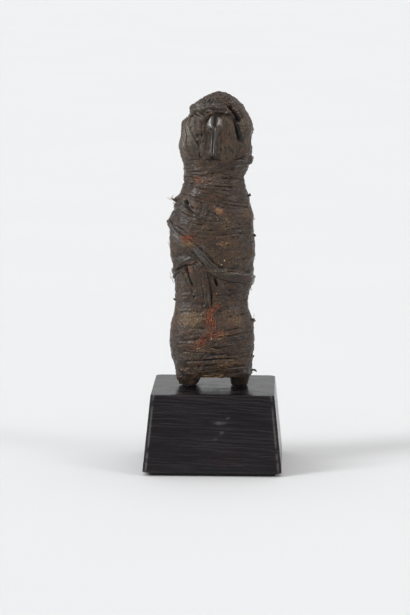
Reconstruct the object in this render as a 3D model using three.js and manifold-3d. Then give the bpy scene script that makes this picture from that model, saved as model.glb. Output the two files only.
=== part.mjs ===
// A small wooden figure, wound with strips of hide, on a black wooden plinth.
// Millimetres, +Z up, origin under the middle of the plinth, the figure faces -Y.
import * as THREE from "three";
import { mergeVertices } from "three/addons/utils/BufferGeometryUtils.js";
import Module from "manifold-3d";

const wasm = await Module();
wasm.setup();

// Plinth
const plinthBottom = 80;
const plinthTop = 71;
const plinthBody = 44.6;
const plinthChamfer = 2;
const softening = 0.5;
const footHeight = 2;
const footInset = 3.6;
const standHeight = footHeight + plinthBody;

// Figure and wrapping
const figureHeight = 170.8;
const domeHeight = 153;
const domePower = 1.7;
const squareness = 2.4;
const trunkAxis = -1;
const headAxis = 2;
const wrapThickness = 3;
const headWrapThickness = 2.4;
const hemWrapThickness = 2;
const ridgeHigh = 0.8;
const ridgeLow = 0.2;
const stripWidth = 6.8;
const stripWander = 0.7;
const strapThickness = 1.4;
const gap = 0.35;

// Feet and the gap between them
const legGapLeft = -9.6;
const legGapRight = 9.3;
const legGapHeight = 8.4;
const hemHeight = 7.6;
const leftHemHeight = 1.5;
const soleTaper = { side: 0.1, front: 0.2 };

// Face: an opening in the wrapping, and in it a rounded brow that narrows into a long nose.
// Heights are above the plinth, and turn is where the nose points, in degrees from the front
const opening = { x: 3.4, z: 145.5, halfWidth: 11, halfHeight: 13, back: -2, depth: 30 };
const face = {
  turn: -9,
  radius: 16,
  chinHeight: 130,
  hairline: 162,
  fade: 4,
  browHeight: 154.5,
  browWidth: 5.4,
  noseEnd: 138,
  noseWidth: 2.2,
  keelHeight: 3.2,
  mouthHeight: 137,
  mouthReach: 5,
  mouthWidth: 8,
  mouthSwell: 2,
  hollowDepth: 0.9,
  hollowWidth: 11,
};

// Mesh density
const columns = 30;
const frontDensity = 0.52;

// Height above the plinth, then the reach of the bound body: left, right, front and back
const bodyStations = [
  [0, -22.0, 21.4, 12.0, 12.0],
  [8, -22.4, 21.8, 14.6, 14.4],
  [20, -25.0, 22.2, 16.6, 17.0],
  [31, -25.4, 22.2, 17.6, 18.0],
  [39, -24.2, 22.0, 17.0, 17.0],
  [47, -22.2, 19.0, 15.2, 15.0],
  [54, -22.2, 19.2, 15.2, 14.6],
  [62, -22.2, 20.8, 16.4, 15.2],
  [72, -23.6, 21.8, 17.6, 16.4],
  [82, -25.6, 22.6, 18.2, 17.2],
  [92, -25.6, 22.0, 18.2, 17.4],
  [101, -24.0, 21.6, 17.6, 17.2],
  [109, -21.4, 18.8, 15.8, 15.6],
  [117, -17.6, 16.4, 13.8, 14.0],
  [124, -16.4, 16.4, 13.2, 13.4],
  [132, -17.2, 18.8, 14.8, 15.2],
  [140, -19.6, 20.4, 16.8, 17.0],
  [148, -18.8, 20.8, 17.4, 17.6],
  [domeHeight, -18.2, 20.6, 17.2, 17.4],
];

const radians = THREE.MathUtils.degToRad;
const smooth = (x, low, high) => THREE.MathUtils.smoothstep(x, low, high);
const wrapAngle = (degrees) => ((degrees + 540) % 360) - 180;

function axisAt(z) {
  return THREE.MathUtils.lerp(trunkAxis, headAxis, smooth(z, 100, 150));
}

// Cubic through the stations, with the slope at each taken from its neighbours
function stationValue(z, column) {
  const last = bodyStations.length - 1;
  let i = bodyStations.findIndex((row) => row[0] > z) - 1;
  i = i < 0 ? (z <= 0 ? 0 : last - 1) : i;
  const slope = (k) => {
    const a = bodyStations[Math.max(k - 1, 0)];
    const b = bodyStations[Math.min(k + 1, last)];
    return (b[column] - a[column]) / (b[0] - a[0]);
  };
  const [low, high] = [bodyStations[i], bodyStations[i + 1]];
  const h = high[0] - low[0];
  const t = THREE.MathUtils.clamp((z - low[0]) / h, 0, 1);
  const rise = t * t * (3 - 2 * t);
  return low[column] * (1 - rise) + high[column] * rise
    + h * (t ** 3 - 2 * t * t + t) * slope(i) + h * (t ** 3 - t * t) * slope(i + 1);
}

// Distance from the body's axis to its bound surface, at an angle in degrees
// from the front, positive to the viewer's right
function bodyRadius(angle, z) {
  const zBody = Math.min(z, domeHeight);
  const [s, c] = [Math.sin(radians(angle)), Math.cos(radians(angle))];
  const axis = axisAt(zBody);
  const side = s >= 0 ? stationValue(zBody, 2) - axis : axis - stationValue(zBody, 1);
  const depth = stationValue(zBody, c >= 0 ? 3 : 4);
  const shrink = Math.max(1 - crownRise(z) ** domePower, 0) ** (1 / domePower);
  const section = Math.abs(s / side) ** squareness + Math.abs(c / depth) ** squareness;
  return shrink * section ** (-1 / squareness);
}

// From 0 where the crown begins to 1 at its top
function crownRise(z) {
  return THREE.MathUtils.clamp((z - domeHeight) / (figureHeight - domeHeight), 0, 1);
}

// A point off the bound surface: outward on the sides, upward on the crown
function bodyPoint(angle, z, off) {
  const rise = crownRise(z);
  const out = Math.sqrt(1 - rise * rise);
  const r = Math.max(bodyRadius(angle, z) + off * out, 0);
  const x = axisAt(z) + r * Math.sin(radians(angle));
  return [x, -r * Math.cos(radians(angle)), standHeight + z + off * rise];
}

// How far the wood lies under the bound surface
function woodDepth(z) {
  const trunk = THREE.MathUtils.lerp(hemWrapThickness, wrapThickness, smooth(z, 4, 20));
  return THREE.MathUtils.lerp(trunk, headWrapThickness, smooth(z, 118, 134));
}

const columnAngles = Array.from({ length: columns }, (_, i) => {
  const turn = (2 * Math.PI * i) / columns;
  return wrapAngle(THREE.MathUtils.radToDeg(turn - frontDensity * Math.sin(turn)));
});

// Closed mesh over rings of points: poles close a stack of rings,
// and without poles the last ring joins the first
function ringSolid(rings, poles) {
  const count = rings[0].length;
  const positions = rings.flat();
  const index = [];
  const bands = poles ? rings.length - 1 : rings.length;
  for (let i = 0; i < bands; i += 1) {
    const upper = (i + 1) % rings.length;
    for (let j = 0; j < count; j += 1) {
      const next = (j + 1) % count;
      const [a, b] = [i * count + j, i * count + next];
      const [c, d] = [upper * count + j, upper * count + next];
      index.push(a, b, d, a, d, c);
    }
  }
  if (poles) {
    positions.push(poles[0], poles[1]);
    const [bottom, top] = [positions.length - 2, positions.length - 1];
    const lastRing = (rings.length - 1) * count;
    for (let j = 0; j < count; j += 1) {
      const next = (j + 1) % count;
      index.push(bottom, next, j, top, lastRing + j, lastRing + next);
    }
  }
  const geometry = new THREE.BufferGeometry();
  geometry.setAttribute("position", new THREE.Float32BufferAttribute(positions.flat(), 3));
  geometry.setIndex(index);
  return geometry;
}

function toManifold(geometry) {
  const bare = geometry.clone();
  bare.deleteAttribute("normal");
  bare.deleteAttribute("uv");
  const merged = mergeVertices(bare, 1e-4);
  const solid = new wasm.Mesh({
    numProp: 3,
    vertProperties: merged.attributes.position.array,
    triVerts: new Uint32Array(merged.index.array),
  });
  return new wasm.Manifold(solid);
}

function fromManifold(solid) {
  const mesh = solid.getMesh();
  const geometry = new THREE.BufferGeometry();
  geometry.setAttribute("position", new THREE.BufferAttribute(mesh.vertProperties, 3));
  geometry.setIndex(new THREE.BufferAttribute(mesh.triVerts, 1));
  return geometry;
}

// Brow and nose stand out from the face as one keel, and the mouth and chin swell again
function faceRelief(angle, z) {
  const across = radians(wrapAngle(angle - face.turn)) * face.radius;
  const bell = (x, width) => Math.exp(-((x / width) ** 2));
  const above = smooth(z, face.chinHeight, face.chinHeight + face.fade);
  const below = 1 - smooth(z, face.hairline - face.fade, face.hairline);
  const towardsBrow = smooth(z, (face.noseEnd + face.browHeight) / 2, face.browHeight);
  const keelWidth = THREE.MathUtils.lerp(face.noseWidth, face.browWidth, towardsBrow);
  const noseTip = smooth(z, face.noseEnd - 2, face.noseEnd + 1);
  const keel = face.keelHeight * noseTip * bell(across, keelWidth);
  const mouth = face.mouthSwell * bell(z - face.mouthHeight, face.mouthReach) * bell(across, face.mouthWidth);
  const hollow = face.hollowDepth * bell(across, face.hollowWidth);
  return above * below * (keel + mouth - hollow);
}

// The wood under the wrapping. Below the hem the legs draw in towards their soles
function woodPoint(angle, z, extra) {
  const drawnIn = (1 - Math.min(z / hemHeight, 1)) ** 2;
  const [x, y, height] = bodyPoint(angle, z, faceRelief(angle, z) + extra - woodDepth(z));
  const axis = axisAt(z);
  return [axis + (x - axis) * (1 - soleTaper.side * drawnIn), y * (1 - soleTaper.front * drawnIn), height];
}

// Heights of the wood's rings of points, closest together on the face
const trunkRows = [4, 8.6, 20, 31, 43, 52, 62, 76, 90, 101, 109, 117, 124, 130];
const headRows = [134, 137, 139.5, 143, 147, 150.5, 154, 157.5, 161.5, 165.5, 169];

function woodSolid(extra, fromHeight) {
  const heights = [fromHeight, ...trunkRows, ...headRows];
  const rings = heights.map((z) => columnAngles.map((angle) => woodPoint(angle, z, extra)));
  const bottom = [axisAt(fromHeight), 0, standHeight + fromHeight];
  const top = [headAxis, 0, standHeight + figureHeight - headWrapThickness + extra];
  return ringSolid(rings, [bottom, top]);
}

// The wood grown by the gap, which every binding is hollowed by
const woodSpace = toManifold(woodSolid(gap, 0));

function makeFigure() {
  const legGap = new THREE.BoxGeometry(legGapRight - legGapLeft, plinthTop, 2 * legGapHeight);
  legGap.translate((legGapLeft + legGapRight) / 2, 0, standHeight);
  return fromManifold(toManifold(woodSolid(0, gap)).subtract(toManifold(legGap)));
}

// Seams between neighbouring bindings, each hidden by a strap where one runs there
const seams = {
  head: (angle) => 127.4 + 4 * Math.sin(radians(angle)),
  neck: (angle) => 111.6 - 4 * Math.sin(radians(angle)),
  shoulder: (angle) => 92.6 - 2.4 * Math.sin(radians(angle)),
  chest: (angle) => 69.6 + 0.8 * Math.sin(radians(angle + 40)),
  waist: (angle) => 51 + 0.6 * Math.sin(radians(2 * angle)),
  hem: (angle) => {
    const fromLeft = Math.abs(wrapAngle(angle + 90));
    return THREE.MathUtils.lerp(leftHemHeight, hemHeight, smooth(fromLeft, 40, 85));
  },
};

// Turns over the crown, tilted down on the left
const crown = {
  start: 157,
  tilt: 2.5,
  tiltTowards: 60,
  sideTurns: 4,
  rings: [162, 165.4, 168, 169.9],
  ringTilt: 0.7,
};

// Edge number k of the strips between two seams, wandering a little as hand-laid turns do
function stripEdge(angle, low, high, k, count) {
  const inside = k > 0 && k < count ? 1 : 0;
  const wander = stripWander * inside * Math.sin(radians(2 * angle) + 1.7 * k);
  return THREE.MathUtils.lerp(low(angle), high(angle), k / count) + wander;
}

// Turns lie like shingles: each lower edge stands proud of the turn below it
function stripRings(low, high, count) {
  const rings = [];
  for (let k = 0; k < count; k += 1) {
    const lowerEdge = (angle) => stripEdge(angle, low, high, k, count) + gap / 2;
    const upperEdge = (angle) => stripEdge(angle, low, high, k + 1, count) - gap / 2;
    rings.push(columnAngles.map((angle) => bodyPoint(angle, lowerEdge(angle), ridgeHigh)));
    rings.push(columnAngles.map((angle) => bodyPoint(angle, upperEdge(angle), ridgeLow)));
  }
  return rings;
}

// The stack of turns between two seams, less the wood inside it
function makeBinding(low, high) {
  const turns = Math.max(2, Math.round((high(0) - low(0)) / stripWidth));
  const bottom = [axisAt(low(0)), 0, standHeight + low(0) + gap / 2];
  const top = [axisAt(high(0)), 0, standHeight + high(0) - gap / 2];
  const turnsSolid = toManifold(ringSolid(stripRings(low, high, turns), [bottom, top]));
  return fromManifold(turnsSolid.subtract(woodSpace));
}

// The cap of turns over the head, less the wood and the opening over the face
function makeHeadBinding() {
  const tilt = (angle) => Math.sin(radians(angle + crown.tiltTowards));
  const crownStart = (angle) => crown.start + crown.tilt * tilt(angle);
  const sideTurns = stripRings(seams.head, crownStart, crown.sideTurns);
  const crownRings = crown.rings.map((z, i) => {
    const off = i % 2 === 0 ? ridgeHigh : ridgeLow;
    return columnAngles.map((angle) => bodyPoint(angle, z + crown.ringTilt * tilt(angle), off));
  });
  const bottom = [headAxis, 0, standHeight + seams.head(0)];
  const top = [headAxis, 0, standHeight + figureHeight + ridgeLow];
  const cap = toManifold(ringSolid([...sideTurns, ...crownRings], [bottom, top]));
  const outline = new THREE.Shape();
  outline.absellipse(opening.x, opening.z, opening.halfWidth, opening.halfHeight, 0, 2 * Math.PI);
  const extrusion = { depth: opening.depth, bevelEnabled: false, curveSegments: 10 };
  const plug = new THREE.ExtrudeGeometry(outline, extrusion);
  plug.rotateX(Math.PI / 2);
  plug.translate(0, opening.back, standHeight);
  return fromManifold(cap.subtract(woodSpace).subtract(toManifold(plug)));
}

// Straps lie over the bindings, and each laid strap lifts those that cross it later
const laidStraps = [];
const liftMargin = 1.6;
const liftReach = 5;

function strapLift(angle, z) {
  let lift = 0;
  for (const strap of laidStraps) {
    for (const point of strap.samples) {
      const far = Math.hypot(radians(wrapAngle(angle - point.angle)) * strap.radius, z - point.z);
      const cover = 1 - smooth(far, strap.width / 2 + liftMargin, strap.width / 2 + liftReach);
      lift = Math.max(lift, cover * (point.lift + strapThickness + gap));
    }
  }
  return lift;
}

// A strap folded over itself stands in a knob there
function foldHeight(spec, angle) {
  const fold = spec.fold ?? { angle: 0, reach: 1, height: 0 };
  return 1 + fold.height * Math.exp(-((wrapAngle(angle - fold.angle) / fold.reach) ** 2));
}

// One cross-section of a strap at a place on the body, laid over what is there already
function strapSection(spec, angleHere, zHere, across) {
  const place = (side, part) => {
    const angle = angleHere + THREE.MathUtils.radToDeg((across.x * side * spec.width) / 2 / spec.radius);
    const slant = Math.sqrt(1 - crownRise(zHere) ** 2);
    const z = zHere + (across.y * side * spec.width * slant) / 2;
    const under = ridgeHigh + gap + strapLift(angle, z);
    return bodyPoint(angle, z, under + part * strapThickness * foldHeight(spec, angleHere));
  };
  return [place(-1, 0), place(0, 0), place(1, 0), place(1, 0.6), place(0, 1), place(-1, 0.6)];
}

// A strap that goes once around the body
function ringStrap(spec) {
  const upright = { x: 0, y: 1 };
  const rings = columnAngles.map((angle) => strapSection(spec, angle, spec.ringHeight(angle), upright));
  const samples = columnAngles.map((angle) => {
    const z = spec.ringHeight(angle);
    return { angle, z, lift: strapLift(angle, z) };
  });
  laidStraps.push({ samples, width: spec.width, radius: spec.radius });
  return ringSolid(rings, null);
}

// A strap with two ends. Its route, points of angle and height, is smoothed on the unrolled surface
function openStrap(spec) {
  const unrolled = spec.route.map(([angle, z]) => new THREE.Vector3(radians(angle) * spec.radius, z, 0));
  const curve = new THREE.CatmullRomCurve3(unrolled, false, "centripetal");
  const steps = Math.max(4, Math.ceil(curve.getLength() / spec.step));
  const rings = [];
  const samples = [];
  for (let i = 0; i <= steps; i += 1) {
    const at = curve.getPointAt(i / steps);
    const along = curve.getTangentAt(i / steps);
    const angle = THREE.MathUtils.radToDeg(at.x / spec.radius);
    rings.push(strapSection(spec, angle, at.y, { x: -along.y, y: along.x }));
    samples.push({ angle, z: at.y, lift: strapLift(angle, at.y) });
  }
  laidStraps.push({ samples, width: spec.width, radius: spec.radius });
  return cappedStrip(rings);
}

// An open strip of rings with a flat fan over each end
function cappedStrip(rings) {
  const middle = (ring) => [0, 1, 2].map((axis) => ring.reduce((sum, p) => sum + p[axis], 0) / ring.length);
  return ringSolid(rings, [middle(rings[0]), middle(rings.at(-1))]);
}

// A mesh whose signed volume is negative is inside out, so its faces are turned over
function facesOut(geometry) {
  const p = geometry.attributes.position;
  const [a, b, c] = [new THREE.Vector3(), new THREE.Vector3(), new THREE.Vector3()];
  let volume = 0;
  for (let i = 0; i < geometry.index.count; i += 3) {
    a.fromBufferAttribute(p, geometry.index.getX(i));
    b.fromBufferAttribute(p, geometry.index.getX(i + 1));
    c.fromBufferAttribute(p, geometry.index.getX(i + 2));
    volume += a.dot(b.cross(c));
  }
  if (volume < 0) {
    geometry.setIndex(Array.from(geometry.index.array).reverse());
  }
  return geometry;
}

const straps = [
  {
    name: "chin_strap", width: 6, radius: 17,
    ringHeight: (angle) => 128.4 + 3.6 * Math.sin(radians(angle)),
  },
  {
    name: "brow_strap", width: 7, radius: 16, step: 3.4, fold: { angle: -62, reach: 13, height: 0.7 },
    route: [[-104, 157.6], [-78, 160.4], [-54, 162.4], [-33, 162.8], [-11, 163.4], [15, 163], [38, 160.6]],
  },
  {
    name: "left_cheek_strip", width: 5.2, radius: 18, step: 3.4,
    route: [[-50, 154], [-43, 150], [-36, 143.6], [-30, 138], [-27, 134.4]],
  },
  {
    name: "left_cheek_strap", width: 6.4, radius: 18, step: 3.6,
    route: [[-72, 155.4], [-67, 150], [-64, 144], [-62, 138.5], [-60, 134.4]],
  },
  {
    name: "right_cheek_strip", width: 3.6, radius: 18, step: 3.2,
    route: [[30, 158.6], [34, 154.4], [40, 148], [45, 142]],
  },
  {
    name: "right_cheek_strap", width: 6.4, radius: 18, step: 3.6,
    route: [[38, 164.4], [49, 163], [57, 159.4], [60, 154], [59, 148], [57, 141], [64, 135]],
  },
  {
    name: "shoulder_strap", width: 6.4, radius: 18,
    ringHeight: (angle) => 112.2 - 3.8 * Math.sin(radians(angle)),
  },
  {
    name: "shoulder_loop", width: 5, radius: 21, step: 3.6,
    route: [[-84, 104], [-70, 104.6], [-56, 103.4], [-42, 101.2], [-28, 98.6], [-12, 97.4]],
  },
  {
    name: "waist_strip_outer", width: 7.4, radius: 20, step: 4,
    route: [[-62, 67.6], [-58, 63.6], [-52, 58.4], [-45, 52.6]],
  },
  {
    name: "waist_strip_inner", width: 7, radius: 20, step: 4,
    route: [[-34, 70.4], [-29, 65], [-25, 58], [-21, 51.6]],
  },
  {
    name: "side_strap", width: 5.4, radius: 22, step: 3.8,
    route: [[-112, 62], [-94, 64.6], [-76, 67.4], [-58, 70.4], [-43, 74.2], [-27, 76.6]],
  },
  {
    name: "chest_strap", width: 5.6, radius: 22, step: 3.8,
    route: [
      [-130, 103], [-104, 99.5], [-84, 95.8], [-67, 92.6], [-53, 88.6], [-35, 84.6], [-23, 80.4],
      [-10, 75.2], [4, 71.4], [23, 69.6], [41, 68], [60, 65.4], [82, 62], [104, 59], [128, 57],
    ],
  },
  {
    name: "hanging_thong", width: 3.4, radius: 18, step: 3.2,
    route: [[-12, 66], [-7, 61.6], [-3, 56.6], [-4, 50]],
  },
];

// A square frustum with its upright edges cut off, on a smaller recessed foot
function makePlinth() {
  const corner = (half) => {
    const cut = half - plinthChamfer;
    return [[half, -cut], [half, cut], [cut, half], [-cut, half], [-half, cut], [-half, -cut], [-cut, -half],
      [cut, -half]];
  };
  const levels = [
    [plinthBottom / 2 - footInset, 0],
    [plinthBottom / 2 - footInset, footHeight],
    [plinthBottom / 2, footHeight],
    [plinthTop / 2, standHeight - softening],
    [plinthTop / 2 - softening, standHeight],
  ];
  const rings = levels.map(([half, z]) => corner(half).map(([x, y]) => [x, y, z]));
  return ringSolid(rings, [[0, 0, 0], [0, 0, standHeight]]);
}

const finishes = {
  blackWood: { color: 0x2a272a, roughness: 0.45 },
  carvedWood: { color: 0x3b302a, roughness: 0.3 },
  hide: { color: 0x4a4039, roughness: 0.7 },
  strapHide: { color: 0x57504a, roughness: 0.6 },
};

const object = new THREE.Group();
object.name = "bound_figure_on_plinth";

function addSolid(name, geometry, finish) {
  const material = new THREE.MeshStandardMaterial({ ...finishes[finish], metalness: 0 });
  const mesh = new THREE.Mesh(facesOut(geometry), material);
  mesh.name = name;
  object.add(mesh);
}

addSolid("plinth", makePlinth(), "blackWood");
addSolid("figure", makeFigure(), "carvedWood");
addSolid("head_binding", makeHeadBinding(), "hide");
addSolid("neck_binding", makeBinding(seams.neck, seams.head), "hide");
addSolid("shoulder_binding", makeBinding(seams.shoulder, seams.neck), "hide");
addSolid("chest_binding", makeBinding(seams.chest, seams.shoulder), "hide");
addSolid("waist_binding", makeBinding(seams.waist, seams.chest), "hide");
addSolid("leg_binding", makeBinding(seams.hem, seams.waist), "hide");
for (const spec of straps) {
  addSolid(spec.name, spec.ringHeight ? ringStrap(spec) : openStrap(spec), "strapHide");
}

export default object;
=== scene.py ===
import math
import bmesh
import bpy
import numpy as np
from mathutils import Matrix, Vector


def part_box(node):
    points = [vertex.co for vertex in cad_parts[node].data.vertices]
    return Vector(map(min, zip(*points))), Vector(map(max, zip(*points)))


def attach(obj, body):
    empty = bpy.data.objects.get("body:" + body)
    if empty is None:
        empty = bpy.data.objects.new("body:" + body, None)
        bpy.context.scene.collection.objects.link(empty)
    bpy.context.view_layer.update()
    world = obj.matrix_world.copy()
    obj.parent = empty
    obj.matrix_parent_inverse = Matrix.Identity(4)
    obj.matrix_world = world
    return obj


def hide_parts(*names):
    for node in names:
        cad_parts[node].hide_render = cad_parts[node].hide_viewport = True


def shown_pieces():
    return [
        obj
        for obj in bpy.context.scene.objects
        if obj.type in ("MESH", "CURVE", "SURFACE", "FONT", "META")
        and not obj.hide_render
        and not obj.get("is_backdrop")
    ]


# A wooden figure wound with hide strips, on a black plinth. Lengths are in millimetres until a mesh
# is made. Angles go around the body from its front, in degrees, positive to the viewer's right,
# and heights are above the plinth's top.
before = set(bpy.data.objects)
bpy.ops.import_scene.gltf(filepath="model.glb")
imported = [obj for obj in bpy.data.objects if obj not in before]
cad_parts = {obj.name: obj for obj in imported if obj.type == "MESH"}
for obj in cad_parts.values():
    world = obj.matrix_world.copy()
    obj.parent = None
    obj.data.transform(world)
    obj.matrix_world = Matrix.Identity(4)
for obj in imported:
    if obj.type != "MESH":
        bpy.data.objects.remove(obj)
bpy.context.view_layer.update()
metre = 1000.0
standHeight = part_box("plinth")[1][2] * metre
fullTurn = 360.0
meanRadius = 20.0
print("frame loaded with", len(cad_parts), "nodes, plinth top at", round(standHeight, 1))

body = {
    "crownStart": 153, "height": 170.8, "crownPower": 1.7, "squareness": 2.4,
    "trunkAxis": -1, "headAxis": 2,
    # height, then reach to the left, right, front and back
    "stations": np.array([
        (0, -22, 21.4, 12, 12), (8, -22.4, 21.8, 14.6, 14.4), (20, -25, 22.2, 16.6, 17),
        (31, -25.4, 22.2, 17.6, 18), (39, -24.2, 22, 17, 17), (47, -22.2, 19, 15.2, 15),
        (54, -22.2, 19.2, 15.2, 14.6), (62, -22.2, 20.8, 16.4, 15.2), (72, -23.6, 21.8, 17.6, 16.4),
        (82, -25.6, 22.6, 18.2, 17.2), (92, -25.6, 22, 18.2, 17.4), (101, -24, 21.6, 17.6, 17.2),
        (109, -21.4, 18.8, 15.8, 15.6), (117, -17.6, 16.4, 13.8, 14), (124, -16.4, 16.4, 13.2, 13.4),
        (132, -17.2, 18.8, 14.8, 15.2), (140, -19.6, 20.4, 16.8, 17), (148, -18.8, 20.8, 17.4, 17.6),
        (153, -18.2, 20.6, 17.2, 17.4),
    ]),
}


def smooth(x, low, high):
    t = np.clip((x - low) / (high - low), 0, 1)
    return t * t * (3 - 2 * t)


def bell(x, width):
    return np.exp(-((x / width) ** 2))


def wrapAngle(degrees):
    return (degrees + 540) % fullTurn - 180


def mix(a, b, t):
    return a + (b - a) * t


def axisAt(z):
    return mix(body["trunkAxis"], body["headAxis"], smooth(z, 100, 150))


def stationValue(z, column):  # a cubic through the stations
    xs, ys = body["stations"][:, 0], body["stations"][:, column]
    slopes = np.empty_like(ys)
    slopes[1:-1] = (ys[2:] - ys[:-2]) / (xs[2:] - xs[:-2])
    slopes[0], slopes[-1] = (ys[1] - ys[0]) / (xs[1] - xs[0]), (ys[-1] - ys[-2]) / (xs[-1] - xs[-2])
    i = np.clip(np.searchsorted(xs, z, side="right") - 1, 0, len(xs) - 2)
    h = xs[i + 1] - xs[i]
    t = np.clip((z - xs[i]) / h, 0, 1)
    rise = t * t * (3 - 2 * t)
    bend = h * (t**3 - 2 * t * t + t) * slopes[i] + h * (t**3 - t * t) * slopes[i + 1]
    return ys[i] * (1 - rise) + ys[i + 1] * rise + bend


def crownRise(z):
    return np.clip((z - body["crownStart"]) / (body["height"] - body["crownStart"]), 0, 1)


def bodyRadius(angle, z):
    zBody = np.minimum(z, body["crownStart"])
    s, c = np.sin(np.radians(angle)), np.cos(np.radians(angle))
    axis = axisAt(zBody)
    side = np.where(s >= 0, stationValue(zBody, 2) - axis, axis - stationValue(zBody, 1))
    depth = np.where(c >= 0, stationValue(zBody, 3), stationValue(zBody, 4))
    shrink = np.maximum(1 - crownRise(z) ** body["crownPower"], 0) ** (1 / body["crownPower"])
    section = np.abs(s / side) ** body["squareness"] + np.abs(c / depth) ** body["squareness"]
    return shrink * section ** (-1 / body["squareness"])


def bodyPoint(angle, z, off):  # outward on the sides, upward on the crown
    rise = crownRise(z)
    r = np.maximum(bodyRadius(angle, z) + off * np.sqrt(1 - rise * rise), 0.02)
    x = axisAt(z) + r * np.sin(np.radians(angle))
    return np.stack([x, -r * np.cos(np.radians(angle)), standHeight + z + off * rise], axis=-1)


def latticeValue(i, j, seed):
    value = np.sin(i * 127.1 + j * 311.7 + seed * 74.7) * 43758.5453
    return value - np.floor(value)


def softNoise(x, y, seed, around=None):  # from -1 to 1, and around is how many cells make a full turn
    i, j = np.floor(x), np.floor(y)
    fx, fy = x - i, y - j
    fx, fy = fx * fx * (3 - 2 * fx), fy * fy * (3 - 2 * fy)
    right = i + 1
    if around:
        i, right = i % around, right % around
    low = mix(latticeValue(i, j, seed), latticeValue(right, j, seed), fx)
    high = mix(latticeValue(i, j + 1, seed), latticeValue(right, j + 1, seed), fx)
    return 2 * mix(low, high, fy) - 1


# The grid over the bound surface: columns go around it, and rows follow its outline up over the crown
gridColumns, rowStep, crownRows, crownTurn = 480, 0.34, 84, 88
columnAngle = -180 + fullTurn * np.arange(gridColumns) / gridColumns
columnStep = math.radians(fullTurn / gridColumns) * meanRadius
crownSteps = np.sin(np.radians(np.linspace(0, crownTurn, crownRows)))
rowHeight = np.concatenate([np.arange(0, body["crownStart"], rowStep),
                            body["crownStart"] + (body["height"] - body["crownStart"]) * crownSteps])
sideReach = bodyRadius(np.full_like(rowHeight, 90), rowHeight)
climb = np.where(rowHeight[1:] > body["crownStart"], np.abs(np.diff(sideReach)), 0)
rowArc = np.concatenate([[0], np.cumsum(np.hypot(np.diff(rowHeight), climb))])
gridAngle, gridArc = np.meshgrid(columnAngle, rowArc)
gridHeight = np.repeat(rowHeight[:, None], gridColumns, axis=1)
gridRadius = bodyRadius(gridAngle, gridHeight)


def arcOf(z):
    return np.interp(z, rowHeight, rowArc)


def heightOf(arc):
    return np.interp(arc, rowArc, rowHeight)


def columnOf(angle):
    return (wrapAngle(angle) + 180) / fullTurn * gridColumns


def rowOf(arc):
    return np.interp(arc, rowArc, np.arange(len(rowArc)))


def ripples(around, along, seed, cells=None, shift=0):  # soft noise over the grid
    return softNoise(gridAngle / around, (gridArc + shift) / along, seed, cells)


def blur(values, reach):  # a soft average over that many millimetres
    pad = int(4 * reach / rowStep) + 2
    padded = np.pad(values, ((pad, pad), (0, 0)), mode="edge")
    rowFrequency = np.fft.fftfreq(padded.shape[0], rowStep)[:, None]
    columnFrequency = np.fft.rfftfreq(padded.shape[1], columnStep)[None, :]
    fade = np.exp(-2 * (math.pi * reach) ** 2 * (rowFrequency**2 + columnFrequency**2))
    smoothed = np.fft.irfft2(np.fft.rfft2(padded) * fade, s=padded.shape)
    return smoothed[pad:pad + values.shape[0]]


def sample(values, angle, arc):  # reads a map between its grid points
    column, row = columnOf(angle), rowOf(arc)
    c0, r0 = np.floor(column).astype(int), np.clip(np.floor(row).astype(int), 0, len(rowArc) - 2)
    fc, fr = column - c0, row - r0
    c0, c1 = c0 % gridColumns, (c0 + 1) % gridColumns
    return mix(mix(values[r0, c0], values[r0, c1], fc), mix(values[r0 + 1, c0], values[r0 + 1, c1], fc), fr)


# Turns of hide strip, zone by zone from the legs up: lowest and highest, how many, their widths, how far
# the right side is lifted and the front drops, how much these vary, and the thickness
turnZones = {
    "legs": (1.5, 52, 25, (2.4, 4.4), 2.7, 0.5, 0.9, 0.24),
    "waist": (50, 71, 10, (2.6, 5), -0.8, -0.5, 1.2, 0.16),
    "chest": (69, 94, 12, (2.6, 5), -1.4, 0.6, 0.9, 0.1),
    "shoulders": (92, 112, 11, (2.2, 4.2), -0.6, 2.4, 1.2, 0.24),
    "neck": (110, 129, 11, (1.8, 3.2), -0.4, 0.6, 0.9, 0.36),
    "head": (127, 157, 14, (2.4, 4.6), 1, -1, 1.4, 0.32),
    "crown": (155, 168.5, 11, (1.8, 3), 1, -5, 0.6, 0.24),
}


def stripAcross(across, along, thickness, seed):  # a strip's body with raised rims and long wrinkles
    reach = np.abs(across)
    rims = 0.4 * bell(reach - 0.78, 0.14)
    folds = softNoise(along / 5, across * 2.2, seed) * 0.3
    return (1 - smooth(reach, 0.8, 1)) * thickness * (1 + rims + folds)


def layTurn(height, middle, width, tilt, sag, thickness, seed):
    def waver(size, shift, cells):
        return softNoise(columnAngle / size, np.full_like(columnAngle, 0.5), seed + shift, cells)

    line = middle + tilt * np.sin(np.radians(columnAngle)) - sag * np.cos(np.radians(columnAngle))
    line = line + 0.8 * waver(40, 0, 9) + 0.25 * waver(12, 5, 30)
    halfWidth = width / 2 * (1 + 0.3 * waver(12, 1, 30))
    shown = 0.25 + 0.75 * smooth(waver(20, 4, 18), -0.5, 0.5)
    rows = slice(*np.searchsorted(rowArc, [arcOf(line.min()) - width, arcOf(line.max()) + width]))
    across = (gridArc[rows] - arcOf(line)) / halfWidth
    across = across + 0.1 * softNoise(gridAngle[rows] / 4, gridArc[rows] / 4, seed + 2, 90)
    along = gridAngle[rows] / fullTurn * 126
    laid = blur(height, 0.8)[rows] + stripAcross(across, along, thickness, seed) * shown
    cover = 1 - smooth(np.abs(across), 0.9, 1.05)
    height[rows] = mix(height[rows], np.maximum(laid, height[rows] - 0.2), cover)


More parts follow.
